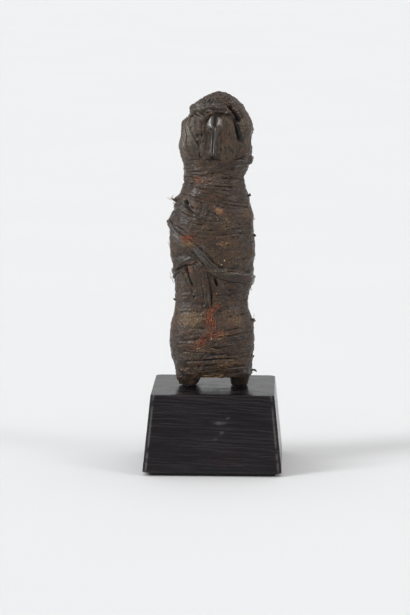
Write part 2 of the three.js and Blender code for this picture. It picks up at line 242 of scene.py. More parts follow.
def windBody():
    rng = np.random.RandomState(41)
    height = 0.2 * ripples(12, 4, 5, 30)
    seed = 100
    for name, (low, high, count, widths, tilt, sag, spread, thickness) in turnZones.items():
        heights = np.linspace(low, high, count)
        for k in rng.permutation(count):
            turnTilt = tilt + rng.uniform(-1, 1) * spread
            turnSag = sag + rng.uniform(-0.5, 0.5) * spread
            middle = heights[k] + rng.uniform(-0.5, 0.5)
            layTurn(height, middle, rng.uniform(*widths), turnTilt, turnSag, thickness, seed)
            seed += 7
        print("wound the", name)
    return height


# Lines pressed into the crust or standing out of it, seen one by one: width, rise and places as
# angle and height. A rise below zero is a crease, slot or hole, and two rises are those of its ends
strokes = {
    "hood": [
        (0.5, 0.7, [(-48.8, 164.6), (-35.5, 166.3), (-15.2, 168), (17.2, 168.8), (41.2, 167.9),
         (49.5, 164.9)]),
        (0.5, 0.7, [(-36.8, 163.3), (-28.2, 164.9), (-15.6, 165.1), (-4.5, 164), (0.6, 162.4)]),
        (0.5, 0.5, [(-29.9, 162), (-18.1, 163.2), (-4.1, 162.9), (9.4, 161.9)]),
        (0.5, -0.55, [(-54.3, 165.6), (-40.7, 167.4), (-19.4, 169), (22, 169.6), (52.7, 168.9)]),
        (0.5, -0.55, [(-43.1, 163.8), (-32.6, 165.5), (-17.4, 166.1), (3.1, 165.6), (20.8, 164.6),
         (30.3, 162.9)]),
        (0.5, 0.5, [(-15.5, 166.7), (7, 167.5), (31.1, 166.7), (40.4, 165)]),
        (0.5, -0.5, [(-30.8, 161.2), (-17, 162.1), (0.6, 161.9), (17.3, 160.8)]),
        (0.8, 0.6, [(51, 169.2), (60.1, 166.4), (60.2, 162.6), (59.3, 158.1), (60.9, 153.6)]),
        (0.5, -0.5, [(43.3, 167.7), (48.3, 164.7), (51.3, 161), (53, 157.1)]),
        (0.6, 0.4, [(22.6, 165.6), (32.8, 164.2), (44.7, 161.7), (50, 157.7), (52.5, 153.7)]),
        (2, -5, [(33, 163.5), (36.5, 161.6), (40.9, 159.3), (44, 156.4)]),
        (0.8, 0.7, [(26.3, 161.6), (31.5, 158.5), (34.5, 155.7), (38.4, 152.8), (43, 149.9)]),
        (1.2, -3.6, [(32.6, 154), (35.4, 150.6), (38.7, 147.7), (41.3, 145.3)]),
        (3.5, 0.7, [(53.5, 152.6), (57.1, 149.6)]),
        (0.6, -0.35, [(55.6, 147.4), (53.8, 143.4), (59.6, 138.6)]),
        (0.7, 0.35, [(46.5, 144.7), (45.9, 140.7), (50.6, 137.1)]),
        (0.6, -0.7, [(74.4, 134.5), (70.6, 133.7), (55.3, 132.6), (41.2, 131.1)]),
        (2, 0.9, [(74.4, 132.1), (78.1, 131.2)]),
        (0.5, 0.8, [(16.5, 128.3), (29.6, 130.3), (44.3, 132.2), (63, 133.4)]),
        (0.5, 0.6, [(8, 130), (26, 132.6), (44, 135), (62, 137)]),
        (0.5, -0.45, [(13, 126.9), (31, 128.6), (48.6, 130.1), (71.6, 131.1)]),
        (0.45, 0.35, [(-3.8, 131), (12.4, 132.2), (27.4, 133.6)]),
        (0.45, 0.4, [(-67.5, 154.9), (-62.6, 149.9), (-57.4, 145.5), (-55.7, 140.3), (-57.8, 135)]),
        (0.5, 0.6, [(-59.8, 155.7), (-54.6, 151.3), (-48.3, 147.4), (-41.3, 144.1), (-36.2, 140.1),
         (-32.9, 136.1), (-31, 133.2)]),
        (0.5, -0.25, [(-60.7, 153.4), (-57.2, 148.3), (-50.4, 143.3), (-47.3, 138.8), (-47.3, 134.1)]),
        (0.45, -0.4, [(-70.5, 152), (-63.6, 146.4), (-62.8, 140.7), (-65.5, 134.8)]),
        (2, -0.7, [(-46, 156), (-41, 150.4), (-36, 144.5), (-32.5, 139.5)]),
        (0.6, -0.8, [(-21, 160.4), (-25.5, 158.9), (-28.4, 155.6), (-28.5, 150.5), (-29, 146),
         (-29.8, 141.4)]),
        (0.6, 0.6, [(-33.7, 156.2), (-31.4, 151.7), (-32.3, 146.5), (-33.2, 141.9), (-31.4, 137.9),
         (-26.1, 133.2)]),
        (0.5, 0.6, [(-25.2, 153.4), (-25.6, 156.5), (-22.4, 158.6), (-13.4, 159.7)]),
        (1.5, -1.2, [(-7, 158.5), (0.7, 159.1), (12.5, 158.8)]),
        (0.8, 0.8, [(-75.9, 163), (-62.1, 163.8), (-48.4, 163.7)]),
        (0.5, 0.7, [(-59.4, 161.1), (-46.6, 161.4), (-34.6, 160.9)]),
        (0.6, -0.7, [(-62.2, 159.2), (-54.5, 159.6), (-46.5, 160.8)]),
    ],
    "neck": [
        (0.4, 0.6, [(-53.4, 126.7), (-41.7, 127.2), (-31.1, 127)]),
        (0.4, 0.6, [(-56.3, 124.6), (-41.9, 125.1), (-28.9, 125)]),
        (0.35, -0.3, [(-62.4, 125.5), (-44.1, 126), (-26.8, 125.9)]),
        (0.6, -0.5, [(-84.7, 122.9), (-51, 123.8), (-33.1, 124.4)]),
        (1.2, 0.4, [(-32.3, 121.9), (-19.3, 122.3), (-5.4, 121.6)]),
        (0.4, 0.8, [(17.5, 121.4), (26.5, 120.5), (37.4, 119.5)]),
        (0.4, 0.6, [(16.4, 124.5), (27.8, 123.6), (39.2, 122.4)]),
        (0.4, -0.4, [(11.3, 125.7), (25.2, 124.5), (39.1, 122.9), (53.8, 121.9)]),
        (0.4, -0.4, [(8, 122.8), (21.8, 121.9), (35.1, 120.7)]),
        (0.6, -0.4, [(-64.6, 118.6), (-43.8, 119.2), (-22.1, 119)]),
        (0.6, -0.35, [(0.4, 118.2), (26.8, 117.6), (58.8, 116.6)]),
        (0.5, -0.4, [(-67.9, 116.2), (-37.7, 116.9), (-7.6, 115.9), (22.7, 115.7), (57, 114.4)]),
        (0.6, -0.5, [(27.7, 127.4), (44.2, 128.1), (61.7, 128.4)]),
        (1.6, 0.9, [(-77.7, 121.1), (-72.7, 120.7)]),
    ],
    "shoulders": [
        (0.45, 0.8, [(-52.5, 112.9), (-43.2, 113.9), (-28.7, 113.3), (-16.1, 112.3), (2.4, 111.5)]),
        (0.45, 0.8, [(-48.3, 112.2), (-38.2, 110.9), (-26.1, 109.7), (-12.6, 108.9)]),
        (0.45, -0.5, [(-44.3, 111.4), (-31.8, 109.9), (-18.2, 108.6)]),
        (1, -3.4, [(-52.6, 108.7), (-48.1, 107.5)]),
        (0.6, -0.9, [(-53.9, 107.5), (-44.6, 105.4), (-36.5, 103.3), (-30.8, 101.7)]),
        (0.6, 0.7, [(-72.6, 106.3), (-55.3, 104.9), (-43.1, 103.2), (-35.7, 101.7)]),
        (2.2, 0.5, [(-33.7, 107.3), (-31.6, 106.8)]),
        (0.5, -0.4, [(-41.9, 107.8), (-37.8, 105.6), (-30.5, 104.8), (-24.2, 106)]),
        (0.5, -0.5, [(-28.9, 105.1), (-12.8, 104.1), (3.6, 102.8), (14.1, 100.8)]),
        (0.5, -0.55, [(-40.4, 101), (-23.7, 99.5), (-8.5, 98.2), (10.5, 97.9), (23.9, 98.5)]),
        (0.6, 0.3, [(-59.6, 102.8), (-43.4, 100.4), (-26.8, 98.4)]),
        (0.45, -0.35, [(18.5, 116), (34.8, 114.5), (55.3, 112.7)]),
        (0.45, -0.4, [(16.5, 112.9), (33.8, 111.7), (57.6, 110.1)]),
        (0.45, -0.35, [(25.8, 109.8), (43.8, 108.4), (68, 107.3)]),
        (0.4, 0.4, [(18.5, 114.4), (34.3, 113.1), (54.3, 111.6)]),
        (0.4, 0.35, [(22.2, 111.2), (38.9, 110), (58.8, 109)]),
        (0.5, -0.4, [(3.1, 107.5), (21.6, 105.8), (42, 105.1), (68, 105.6)]),
        (2, 0.5, [(60.4, 104.1), (63.2, 102.3)]), (0.8, 0.5, [(10.8, 104.7), (16.1, 103.9)]),
        (2, 0.8, [(-79.9, 109.5), (-69.5, 107.6)]),
    ],
    "chest": [
        (2.4, 1, [(-79.5, 97.9), (-82.3, 95.4)]),
        (0.7, -0.45, [(-79, 96.2), (-59.1, 94.7), (-46.5, 92.3), (-35.4, 89.3)]),
        (0.5, -0.45, [(-35.4, 89.3), (-19.8, 88.4), (0.3, 87.9)]),
        (0.45, -0.2, [(-34.2, 93.7), (-15, 93), (10.5, 92.8), (36.3, 93.5), (65.6, 94.1)]),
        (0.45, -0.2, [(-31, 91.4), (-9.9, 90.4), (17.1, 90.2), (42.5, 90.8), (71.4, 91.3)]),
        (0.4, -0.3, [(-26.5, 95.5), (-3.2, 94.5), (23.7, 94.8), (51.1, 96.1)]),
        (0.4, 0.3, [(-26.3, 92.2), (-3.1, 91.4), (23.6, 91.4), (56.5, 92.2)]),
        (0.4, 0.45, [(8, 85.3), (13, 83.8), (18.7, 85.9), (25.1, 87.3)]),
        (1.6, -0.15, [(44.1, 89.6), (45.5, 83.8), (45.2, 78)]),
        (0.6, -0.3, [(-11.5, 84.1), (0.4, 81.5), (12.2, 81.8)]),
        (0.5, 0.3, [(-65.4, 93.9), (-58.2, 91.3), (-49.4, 88.7)]),
        (0.5, 0.3, [(-70.3, 92.5), (-63, 90), (-54.3, 87.4)]),
    ],
    "waist": [
        (0.5, 1, [(-18.3, 78.2), (-10, 75.4), (-1.3, 72.2), (7.6, 70.4), (21.4, 70.2), (36.3, 69.4),
         (53.5, 67.5), (70.2, 66)]),
        (0.7, 0.5, [(-34.7, 83.8), (-29.4, 81.6), (-23.2, 79.3)]),
        (0.6, -0.35, [(-26.1, 84.8), (-18.2, 82.3), (-9.9, 79.4), (-1.3, 76), (3.9, 73.7)]),
        (0.6, -0.6, [(-35.6, 80.9), (-26.5, 77.9), (-18.5, 75.3), (-11.9, 72.4)]),
        (1.8, 0.5, [(-23.7, 72.9), (-20.4, 72.4)]),
        (0.4, -0.5, [(-28.4, 74.6), (-22, 72.9), (-17.2, 70.6)]),
        (0.4, -0.4, [(-20.2, 74.4), (-11.8, 73.9)]),
        (0.8, -1.4, [(-67.7, 68.7), (-55.3, 70.3), (-45.4, 72), (-36.9, 72.8)]),
        (0.5, 0.4, [(-58.3, 72.9), (-46.4, 74.8), (-36.2, 76.4)]), (1.2, -2, [(-47, 71.4), (-44.8, 69)]),
        (0.7, (-1.9, -0.9), [(-45, 69), (-40.8, 63.8), (-38.2, 60.6), (-35.4, 58)]),
        (1, 0.35, [(-34.7, 71), (-32.3, 66.3), (-29.3, 60.5)]),
        (0.5, -0.5, [(-22.5, 69.4), (-19.7, 64.1), (-17, 58.2), (-15.7, 52.3)]),
        (0.7, 0.6, [(-15.2, 64.8), (-12.9, 60), (-10.7, 54.7), (-7.7, 50.6)]),
        (0.9, (-0.1, -1), [(-5.4, 65.2), (-3.5, 58.3), (-1.6, 53), (-1.8, 48.9)]),
        (0.9, -2.2, [(6.4, 64.2), (8.9, 62.4), (10.6, 60.8)]),
        (0.6, 0.4, [(14.1, 65.4), (17.2, 62.5), (20.5, 58.9)]),
        (0.5, 0.4, [(1, 66), (2.4, 61.9), (4.4, 57.1)]),
        (0.5, -0.3, [(22.6, 61.9), (38, 62.3), (55.2, 63.1)]),
        (0.5, -0.3, [(19.7, 58.3), (36.1, 57.6), (56.2, 57.7)]),
        (0.5, -0.3, [(8.5, 54.7), (27.7, 55.3), (50, 54.3)]),
        (0.5, -0.3, [(4.6, 51.2), (24.4, 52.4), (46.7, 51.5), (70.1, 51.3)]),
        (0.4, -0.3, [(-58.4, 55.6), (-46.6, 56.6), (-34, 56.6)]),
        (0.4, -0.3, [(-58.8, 53.3), (-45.2, 54), (-32.6, 53.9)]),
        (0.4, 0.3, [(-58.6, 54.4), (-45.1, 55.3), (-32.4, 55.2)]),
        (0.4, 0.25, [(-57.5, 65.6), (-54.9, 61), (-50.1, 57.1)]),
    ],
    "legs": [
        (0.5, -0.4, [(-63.5, 44.3), (-41.1, 45.6), (-17.2, 45.4)]),
        (0.45, -0.4, [(-36.7, 35.5), (-23.7, 36), (-8.2, 35.8)]),
        (0.45, -0.4, [(-39.5, 31.9), (-23.4, 32.5), (-9.8, 32.9)]),
        (0.35, 0.4, [(-63.2, 39.7), (-57.7, 37.7), (-53.2, 35.9)]),
        (0.35, 0.35, [(-59.5, 40.5), (-53.4, 38.5)]),
        (0.5, -0.35, [(-8, 31.8), (7.9, 33.2), (28.3, 34.6), (47.7, 36)]),
        (0.5, -0.35, [(-52.2, 28), (-33.1, 29.2), (-11.5, 30), (14.9, 30.9), (41, 32.1), (66.8, 32.9)]),
        (0.4, 0.4, [(-20.7, 22.8), (-2.8, 22.7), (18.9, 23.2)]),
        (0.5, -0.4, [(-10, 24.1), (4.5, 24.4), (17, 24.2)]),
        (0.55, -0.55, [(-4.7, 20.2), (12, 20.6), (27.8, 20.8)]),
        (0.6, -0.65, [(-45.6, 16.1), (-28.6, 16.9), (-10.5, 17.3), (12.3, 17.9), (36.7, 18)]),
        (0.45, 0.55, [(-12.3, 18.1), (4.7, 18.8), (23, 19), (39.7, 18.8)]),
        (0.5, -0.4, [(20.5, 12.1), (34.6, 12.7), (47.7, 13), (61.4, 13.1)]),
        (0.5, -0.4, [(32.4, 9), (49.1, 9.4), (64.7, 9.4)]),
        (0.5, -0.35, [(-50.2, 22.2), (-31.1, 21.5), (-10.1, 22)]),
        (0.4, 0.4, [(35.7, 15), (43.9, 14.9), (50.4, 15)]), (0.35, 0.4, [(60, 35.6), (67.2, 37.5)]),
        (0.5, -0.35, [(4.5, 27.7), (25, 28.2), (47.5, 29), (69.8, 29.2)]),
        (0.4, 0.3, [(0.9, 25.9), (18.5, 26.2), (41.3, 26.8)]),
        (0.5, -0.35, [(-50.6, 12.6), (-29.6, 13.1), (-3, 13.9), (23.6, 15.1)]),
    ],
}

# Broad swells and hollows of the whole outline: angle, height, reach around and up, and rise
swells = [
    (-92, 158.6, 14, 3, -3.8), (-85, 166, 9, 3, -0.9), (-88, 162.4, 6, 2.4, 0.9), (-70, 149, 7, 6, -1.2),
    (-50, 144, 4, 8, 0.8), (-88, 129.5, 8, 4, 0.7), (-86, 109.2, 3, 1.8, 1.6), (80, 160, 10, 9, 0.8),
    (84, 136.6, 8, 3.6, 1.5), (-88, 136, 9, 7, 0.8), (-88, 75, 9, 4, 0.4), (60, 164.5, 6, 3, -0.8),
    (78, 159.5, 8, 5, -1.4), (88, 131.8, 6, 2.6, 1.3), (88, 128.4, 9, 5, 1.2), (88, 115.5, 9, 6, 0.9),
    (88, 101, 9, 6, 0.5), (-95, 0.6, 12, 3.2, -2), (-88, 121.5, 5, 2.2, 1.2), (-90, 102.5, 7, 4, -1.2),
    (90, 61, 7, 7, 1.6), (-92, 12, 9, 5, -1), (84, 149.6, 7, 2.6, 0.9), (88, 78, 8, 5, 0.6),
    (90, 26, 8, 5, 0.6),
]


def unroll(route):  # a route laid flat in millimetres, and the radius that it was laid out with
    points = np.array(route, float)
    radius = bodyRadius(points[:, 0], points[:, 1]).mean()
    return np.stack([np.radians(points[:, 0]) * radius, arcOf(points[:, 1])], axis=1), radius


def lengthsAlong(line):
    return np.concatenate([[0], np.cumsum(np.hypot(*np.diff(line, axis=0).T))])


def layStroke(drawn, width, rise, route):
    flat, radius = unroll(route)
    length = lengthsAlong(flat)
    even = np.arange(0, length[-1] + 0.1, 0.2)
    x, arc = np.interp(even, length, flat[:, 0]), np.interp(even, length, flat[:, 1])
    first, last = rise if isinstance(rise, tuple) else (rise, rise)
    strengths = mix(first, last, even / length[-1])
    if width <= 1.5:
        nearEnd = np.minimum(even + 0.3, length[-1] - even + 0.3) / min(1.5, length[-1] / 3 + 0.3)
        strengths = strengths * np.sqrt(np.clip(nearEnd, 0, 1))
    reach = 3 * width
    rows = np.arange(*np.searchsorted(rowArc, [arc.min() - reach, arc.max() + reach]))
    turns = (np.degrees(np.array([x.min() - reach, x.max() + reach]) / radius) + 180) / fullTurn * gridColumns
    columns = np.arange(int(turns[0]), int(turns[1]) + 2)
    cellX = np.radians(-180 + fullTurn * columns / gridColumns) * radius
    nearest = np.full((len(rows), len(columns)), 1e9)
    strength = np.zeros_like(nearest)
    for px, ps, part in zip(x, arc, strengths):
        far = (cellX[None, :] - px) ** 2 + (rowArc[rows][:, None] - ps) ** 2
        closer = far < nearest
        nearest[closer], strength[closer] = far[closer], part
    drawn[np.ix_(rows, columns % gridColumns)] += strength * np.exp(-nearest / (0.75 * width) ** 2)


def drawLines(lines):
    drawn = np.zeros_like(gridAngle)
    for width, rise, route in lines:
        layStroke(drawn, width, rise, route)
    return drawn


def drawSwells():
    drawn = np.zeros_like(gridAngle)
    for angle, z, reachX, reachZ, rise in swells:
        around = np.radians(wrapAngle(gridAngle - angle)) * gridRadius
        drawn += rise * np.exp(-((around / reachX) ** 2) - ((gridHeight - z) / reachZ) ** 2)
    return drawn


def denseRoute(route, step):  # the route smoothed on the unrolled surface, at even steps
    flat, radius = unroll(route)
    ends = np.concatenate([[2 * flat[0] - flat[1]], flat, [2 * flat[-1] - flat[-2]]])
    t = np.linspace(0, 1, 40, endpoint=False)[:, None]
    spans = []
    for a, b, c, d in zip(ends[:-3], ends[1:-2], ends[2:-1], ends[3:]):
        bent = (2 * a - 5 * b + 4 * c - d) * t**2 + (3 * b - a - 3 * c + d) * t**3
        spans.append(0.5 * (2 * b + (c - a) * t + bent))
    line = np.concatenate(spans + [flat[-1:]])
    length = lengthsAlong(line)
    even = np.linspace(0, length[-1], max(8, int(length[-1] / step)))
    x, arc = np.interp(even, length, line[:, 0]), np.interp(even, length, line[:, 1])
    return np.degrees(x / radius), arc, even


# How every strap is laid: its grid, the rounding of its ends, how far its top stays clear of what is below,
# how far its underside sinks into that, and how much deeper than its thickness it is made
strapForm = {
    "step": 0.32, "lanes": 19, "roundEnd": 1.6, "clear": 0.12, "softClear": 0.04, "sink": 0.25,
    "backing": 0.7,
}


def ringRoute(middle, tilt):
    return [(a, middle + tilt * math.sin(math.radians(a))) for a in np.linspace(-180, 180, 25)]


def strapGrid(strap, height, seed):
    ring, thickness = "ring" in strap, strap["thickness"]
    route = ringRoute(*strap["ring"]) if ring else strap["route"]
    angle, arc, along = denseRoute(route, strapForm["step"])
    across = np.linspace(-1, 1, strapForm["lanes"])
    local = bodyRadius(angle, heightOf(arc))
    tangent = np.stack([np.gradient(np.radians(angle)) * local, np.gradient(arc)])
    tangent /= np.hypot(*tangent)
    width = strap["width"] / 2 * (1 + 0.14 * softNoise(along / 6, np.zeros_like(along), seed))
    if "widens" in strap:
        factor, start, end = strap["widens"]
        width = width * mix(1, factor, smooth(along, start, end))
    if not ring:
        endRound = np.minimum(along, along[-1] - along) / strapForm["roundEnd"]
        width = width * np.sqrt(np.clip(1 - (1 - np.clip(endRound, 0, 1)) ** 2, 0.04, 1))
    offset = width[:, None] * across[None, :]
    gridA = angle[:, None] + np.degrees(-tangent[1][:, None] * offset / local[:, None])
    gridS = arc[:, None] + tangent[0][:, None] * offset
    lanes = np.broadcast_to(across[None, :], offset.shape)
    run = np.broadcast_to(along[:, None], offset.shape)
    below = sample(height, gridA, gridS)
    profile = 1 - 0.7 * smooth(np.abs(lanes), 0.72, 1) + 0.3 * bell(np.abs(lanes) - 0.82, 0.12)
    if strap["soft"]:
        profile = 1 - smooth(np.abs(lanes), 0.4, 1)
    for at, rise, breadth in strap["ridges"]:
        drift = 0.12 * softNoise(run / 9, run * 0, seed + 5)
        profile = profile + rise * bell(lanes - at - drift, breadth)
    for at, rise, reach in strap["lumps"]:
        profile = profile + rise * bell(run - at, reach) * (1 - 0.4 * lanes**2)
    curl = strap["curl"] * np.clip(softNoise(run / 8, np.sign(lanes) * 3.5, seed + 2), 0, 1) * lanes**4
    wrinkles = softNoise(run / 6, lanes * 2.7, seed + 4) + 0.5 * softNoise(run / 2.2, lanes * 5, seed + 6)
    threads = 0.1 * softNoise(run / 7, lanes * (0.9 * strap["width"]), seed + 8)
    carried = 0.85 * sample(lines, gridA, gridS) + strap["carries"] * sample(fine - lines, gridA, gridS)
    top = sample(blur(height, 1.5), gridA, gridS) + thickness * profile + curl
    top = top + strap["wrinkle"] * wrinkles + threads + carried
    if not ring:
        sink = 1 - smooth(np.minimum(run, along[-1] - run), 0, strap["tuck"])
        top = top - sink * (thickness * 0.9)
    top = np.maximum(top, below + strapForm["softClear" if strap["soft"] else "clear"])
    under = np.maximum(below - strapForm["sink"], top - thickness - strapForm["backing"])
    return gridA, gridS, top, under


def pressInto(height, gridA, gridS, top):  # later pieces then lie over this one
    columns = np.rint(columnOf(gridA)).astype(int) % gridColumns
    rows = np.clip(np.rint(rowOf(gridS)).astype(int), 0, len(rowArc) - 1)
    laid = np.full_like(height, -99)
    np.maximum.at(laid, (rows, columns), top)
    spread = laid.copy()
    for shift in [(r, c) for r in (-1, 0, 1) for c in (-1, 0, 1)]:
        spread = np.maximum(spread, np.roll(laid, shift, (0, 1)))
    return np.maximum(height, spread)


def makeMesh(name, points, faces, finish, attributes=None, node=None):
    mesh = bpy.data.meshes.new(name)
    mesh.vertices.add(len(points))
    mesh.vertices.foreach_set("co", np.ascontiguousarray(points / metre, dtype=np.float32).ravel())
    faces = np.ascontiguousarray(faces, dtype=np.int32)
    sides = faces.shape[1]
    mesh.loops.add(faces.size)
    mesh.loops.foreach_set("vertex_index", faces.ravel())
    mesh.polygons.add(len(faces))
    mesh.polygons.foreach_set("loop_start", np.arange(0, faces.size, sides, dtype=np.int32))
    mesh.update(calc_edges=True)
    mesh.polygons.foreach_set("use_smooth", np.full(len(faces), sides == 4))
    for key, values in (attributes or {}).items():
        kind, field = ("FLOAT", "value") if values.ndim == 1 else ("FLOAT_COLOR", "color")
        attribute = mesh.attributes.new(key, kind, "POINT")
        attribute.data.foreach_set(field, np.ascontiguousarray(values, dtype=np.float32).ravel())
    mesh.materials.append(finish)
    piece = bpy.data.objects.new(name, mesh)
    bpy.context.scene.collection.objects.link(piece)
    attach(piece, "root")
    if node:
        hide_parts(node)
    return piece


def gridFaces(rows, columns, closed=False):  # always closed around, and closed end to end for a ring
    rr, cc = np.meshgrid(np.arange(rows if closed else rows - 1), np.arange(columns), indexing="ij")
    thisRow, nextRow, nextColumn = rr * columns, (rr + 1) % rows * columns, (cc + 1) % columns
    quads = [thisRow + cc, thisRow + nextColumn, nextRow + nextColumn, nextRow + cc]
    return np.stack(quads, axis=-1).reshape(-1, 4)


def repair(piece, closing):  # closes the open ends, or else drops loose points and repeated corners
    bm = bmesh.new()
    bm.from_mesh(piece.data)
    if closing:
        bmesh.ops.holes_fill(bm, edges=[edge for edge in bm.edges if edge.is_boundary])
        bmesh.ops.triangulate(bm, faces=[face for face in bm.faces if len(face.verts) > 4])
        bmesh.ops.recalc_face_normals(bm, faces=bm.faces)
    else:
        bmesh.ops.remove_doubles(bm, verts=bm.verts, dist=1e-6)
        bmesh.ops.delete(bm, geom=[v for v in bm.verts if not v.link_faces], context="VERTS")
    bm.to_mesh(piece.data)
    bm.free()


# One small class stands for a socket, so that shader maths reads as plain arithmetic
class Socket:
    def __init__(self, finish, socket):
        self.finish = finish
        self.socket = socket

    def maths(self, operation, first, second):
        return self.finish.node("ShaderNodeMath", {"operation": operation}, {0: first, 1: second})

    def __add__(self, other):
        return self.maths("ADD", self, other)

    def __radd__(self, other):
        return self.maths("ADD", other, self)

    def __sub__(self, other):
        return self.maths("SUBTRACT", self, other)

    def __rsub__(self, other):
        return self.maths("SUBTRACT", other, self)

    def __mul__(self, other):
        return self.maths("MULTIPLY", self, other)

    def __rmul__(self, other):
        return self.maths("MULTIPLY", other, self)


class Finish:  # the nodes of a material, or of the world
    def __init__(self, holder):
        self.holder = holder if isinstance(holder, bpy.types.World) else bpy.data.materials.new(holder)
        self.holder.use_nodes = True
        self.tree = self.holder.node_tree
        self.tree.nodes.clear()

    def node(self, kind, settings=None, inputs=None, output=0):
        made = self.tree.nodes.new(kind)
        for key, value in (settings or {}).items():
            setattr(made, key, value)
        for key, value in (inputs or {}).items():
            if isinstance(value, Socket):
                self.tree.links.new(value.socket, made.inputs[key])
            else:
                made.inputs[key].default_value = value
        return Socket(self, made.outputs[output]) if made.outputs else None

    def place(self):  # position in millimetres
        coordinates = self.node("ShaderNodeTexCoord", output="Object")
        return self.node("ShaderNodeVectorMath", {"operation": "SCALE"}, {0: coordinates, "Scale": metre})

    def stretched(self, place, scale):
        return self.node("ShaderNodeVectorMath", {"operation": "MULTIPLY"}, {0: place, 1: scale})

    def axis(self, vector, name):
        return self.node("ShaderNodeSeparateXYZ", inputs={"Vector": vector}, output=name)

    def noise(self, place, size, detail=4, rough=0.55):
        inputs = {"Vector": place, "Scale": 1 / size, "Detail": detail, "Roughness": rough}
        return self.node("ShaderNodeTexNoise", inputs=inputs)

    def between(self, value, low, high):  # 0 below low, 1 above high
        settings = {"interpolation_type": "SMOOTHSTEP"}
        return self.node("ShaderNodeMapRange", settings, {"Value": value, "From Min": low, "From Max": high})

    def attribute(self, name, output="Fac"):
        return self.node("ShaderNodeAttribute", {"attribute_name": name}, output=output)

    def blend(self, first, second, factor):
        settings = {"data_type": "RGBA", "clamp_factor": True}
        return self.node("ShaderNodeMix", settings, {0: factor, 6: first, 7: second}, output=2)

    def bump(self, height, strength, distance):
        inputs = {"Height": height, "Strength": strength, "Distance": distance * (1 / metre)}
        return self.node("ShaderNodeBump", inputs=inputs)

    def surface(self, colour, roughness, normal, plain=None):
        inputs = {"Base Color": colour, "Roughness": roughness, "Normal": normal}
        shader = self.node("ShaderNodeBsdfPrincipled", inputs={**inputs, **(plain or {})})
        self.node("ShaderNodeOutputMaterial", inputs={"Surface": shader})
        return self.holder


roomExposure = 0.6


def paint(red, green, blue):  # a colour as it shows on screen, 0 to 255, under this room's strong light
    shown = np.array([red, green, blue]) / 255
    linear = np.where(shown <= 0.04, shown / 12.92, ((shown + 0.055) / 1.055) ** 2.4)
    return (*(linear * roomExposure), 1)


# grey is painted sheen on raised places and black is painted shade in hollows and under things
hideLook = {
    "black": paint(10, 7, 5), "deep": paint(28, 18, 12), "brown": paint(57, 41, 27),
    "warm": paint(85, 53, 30), "olive": paint(73, 58, 34), "sheenGrey": paint(90, 84, 75),
    "dust": paint(156, 112, 70),
}


def hideFinish(name, gloss, paintedSheen, dusty, grit):
    f = Finish(name)
    place = f.place()
    along = f.stretched(place, (0.45, 0.45, 1))  # grain lies along the turns
    broad = f.noise(place, 8, 3)
    tone = f.noise(along, 3, 4, 0.6)
    flecks = f.noise(along, 1.3, 4, 0.62)
    grains = f.noise(place, 1, 5, 0.65)
    fine = f.noise(place, 0.5, 4, 0.6)
    shadeAndSheen, stainAndSheenAmount = f.attribute("shadeAndSheen"), f.attribute("stainAndSheenAmount")
    colour = f.blend(hideLook["brown"], hideLook["warm"], f.between(tone, 0.45, 0.66))
    colour = f.blend(colour, hideLook["olive"], f.between(broad, 0.45, 0.62) * f.between(flecks, 0.35, 0.6))
    colour = f.blend(colour, hideLook["deep"], f.between(flecks * 0.5 + grains * 0.5, 0.48, 0.56))
    stainAndSheenShare = stainAndSheenAmount * f.between(grains * 0.65 + fine * 0.35, 0.42, 0.56)
    colour = f.blend(colour, f.attribute("stainAndSheenColour", "Color"), stainAndSheenShare)
    # Painted sheen, partly wear: raised places turn grey
    wearAndSheen = f.between(shadeAndSheen, 0.05, 0.45) * f.between(fine, 0.35, 0.6) * paintedSheen
    colour = f.blend(colour, hideLook["sheenGrey"], wearAndSheen)
    specks = f.between(grains * 0.55 + fine * 0.45, 0.56, 0.61)
    specks = specks * (0.15 + 0.5 * f.between(broad, 0.45, 0.6) + 0.35 * stainAndSheenAmount)
    colour = f.blend(colour, hideLook["dust"], specks * dusty)
    # Painted shade: low places, strap undersides and turned-in ends are darkened towards black
    sunk = f.between(0 - shadeAndSheen, 0.03, 0.4)
    colour = f.blend(colour, hideLook["black"], sunk * 0.94)
    roughness = gloss + 0.26 * f.between(tone, 0.35, 0.65) + 0.35 * sunk - 0.08 * f.between(shadeAndSheen, 0.05, 0.3)
    normal = f.bump(grains * 0.6 + fine * 0.4, grit, 0.36)
    return f.surface(colour, roughness, normal, {"Specular IOR Level": 0.4})


# black is painted shade in sunk places and on the stub legs
woodLook = {
    "black": paint(12, 9, 8), "dark": paint(36, 27, 21), "brown": paint(78, 62, 46),
    "red": paint(92, 58, 38), "pale": paint(116, 100, 74),
}


def carvedWoodFinish():  # rubbed to a gloss where the carving stands high
    f = Finish("carvedWood")
    place = f.place()
    grain = f.noise(f.stretched(place, (1, 1, 0.35)), 0.9, 4, 0.6)
    broad = f.noise(place, 3.4, 4)
    fine = f.noise(place, 0.6, 4, 0.65)
    wearAndSheen = f.attribute("polish")
    colour = f.blend(woodLook["dark"], woodLook["brown"], f.between(grain * 0.6 + broad * 0.4, 0.4, 0.54))
    colour = f.blend(colour, woodLook["red"], f.between(broad, 0.52, 0.64) * 0.5)
    colour = f.blend(colour, woodLook["pale"], f.between(grain * 0.5 + fine * 0.5, 0.52, 0.6) * 0.5)
    colour = f.blend(colour, woodLook["dark"], f.between(wearAndSheen, 0.1, 0.5) * 0.8)
    # Painted shade: the face's dark lines and the stub legs are darkened towards black, and their coat dulled
    sunk = f.between(0 - f.attribute("shadeAndSheen"), 0.1, 0.8)
    colour = f.blend(colour, woodLook["black"], sunk * 0.94)
    roughness = 0.5 + 0.15 * f.between(fine, 0.4, 0.7) - 0.12 * wearAndSheen + 0.35 * sunk
    normal = f.bump(grain * 0.5 + fine * 0.5, 0.5, 0.4 * (1 - wearAndSheen) + 0.01)
    coat = 0.9 * wearAndSheen * (1 - 0.85 * sunk)
    glaze = {"Coat Weight": coat, "Coat Roughness": 0.1, "Specular IOR Level": 0.36}
    return f.surface(colour, roughness, normal, glaze)


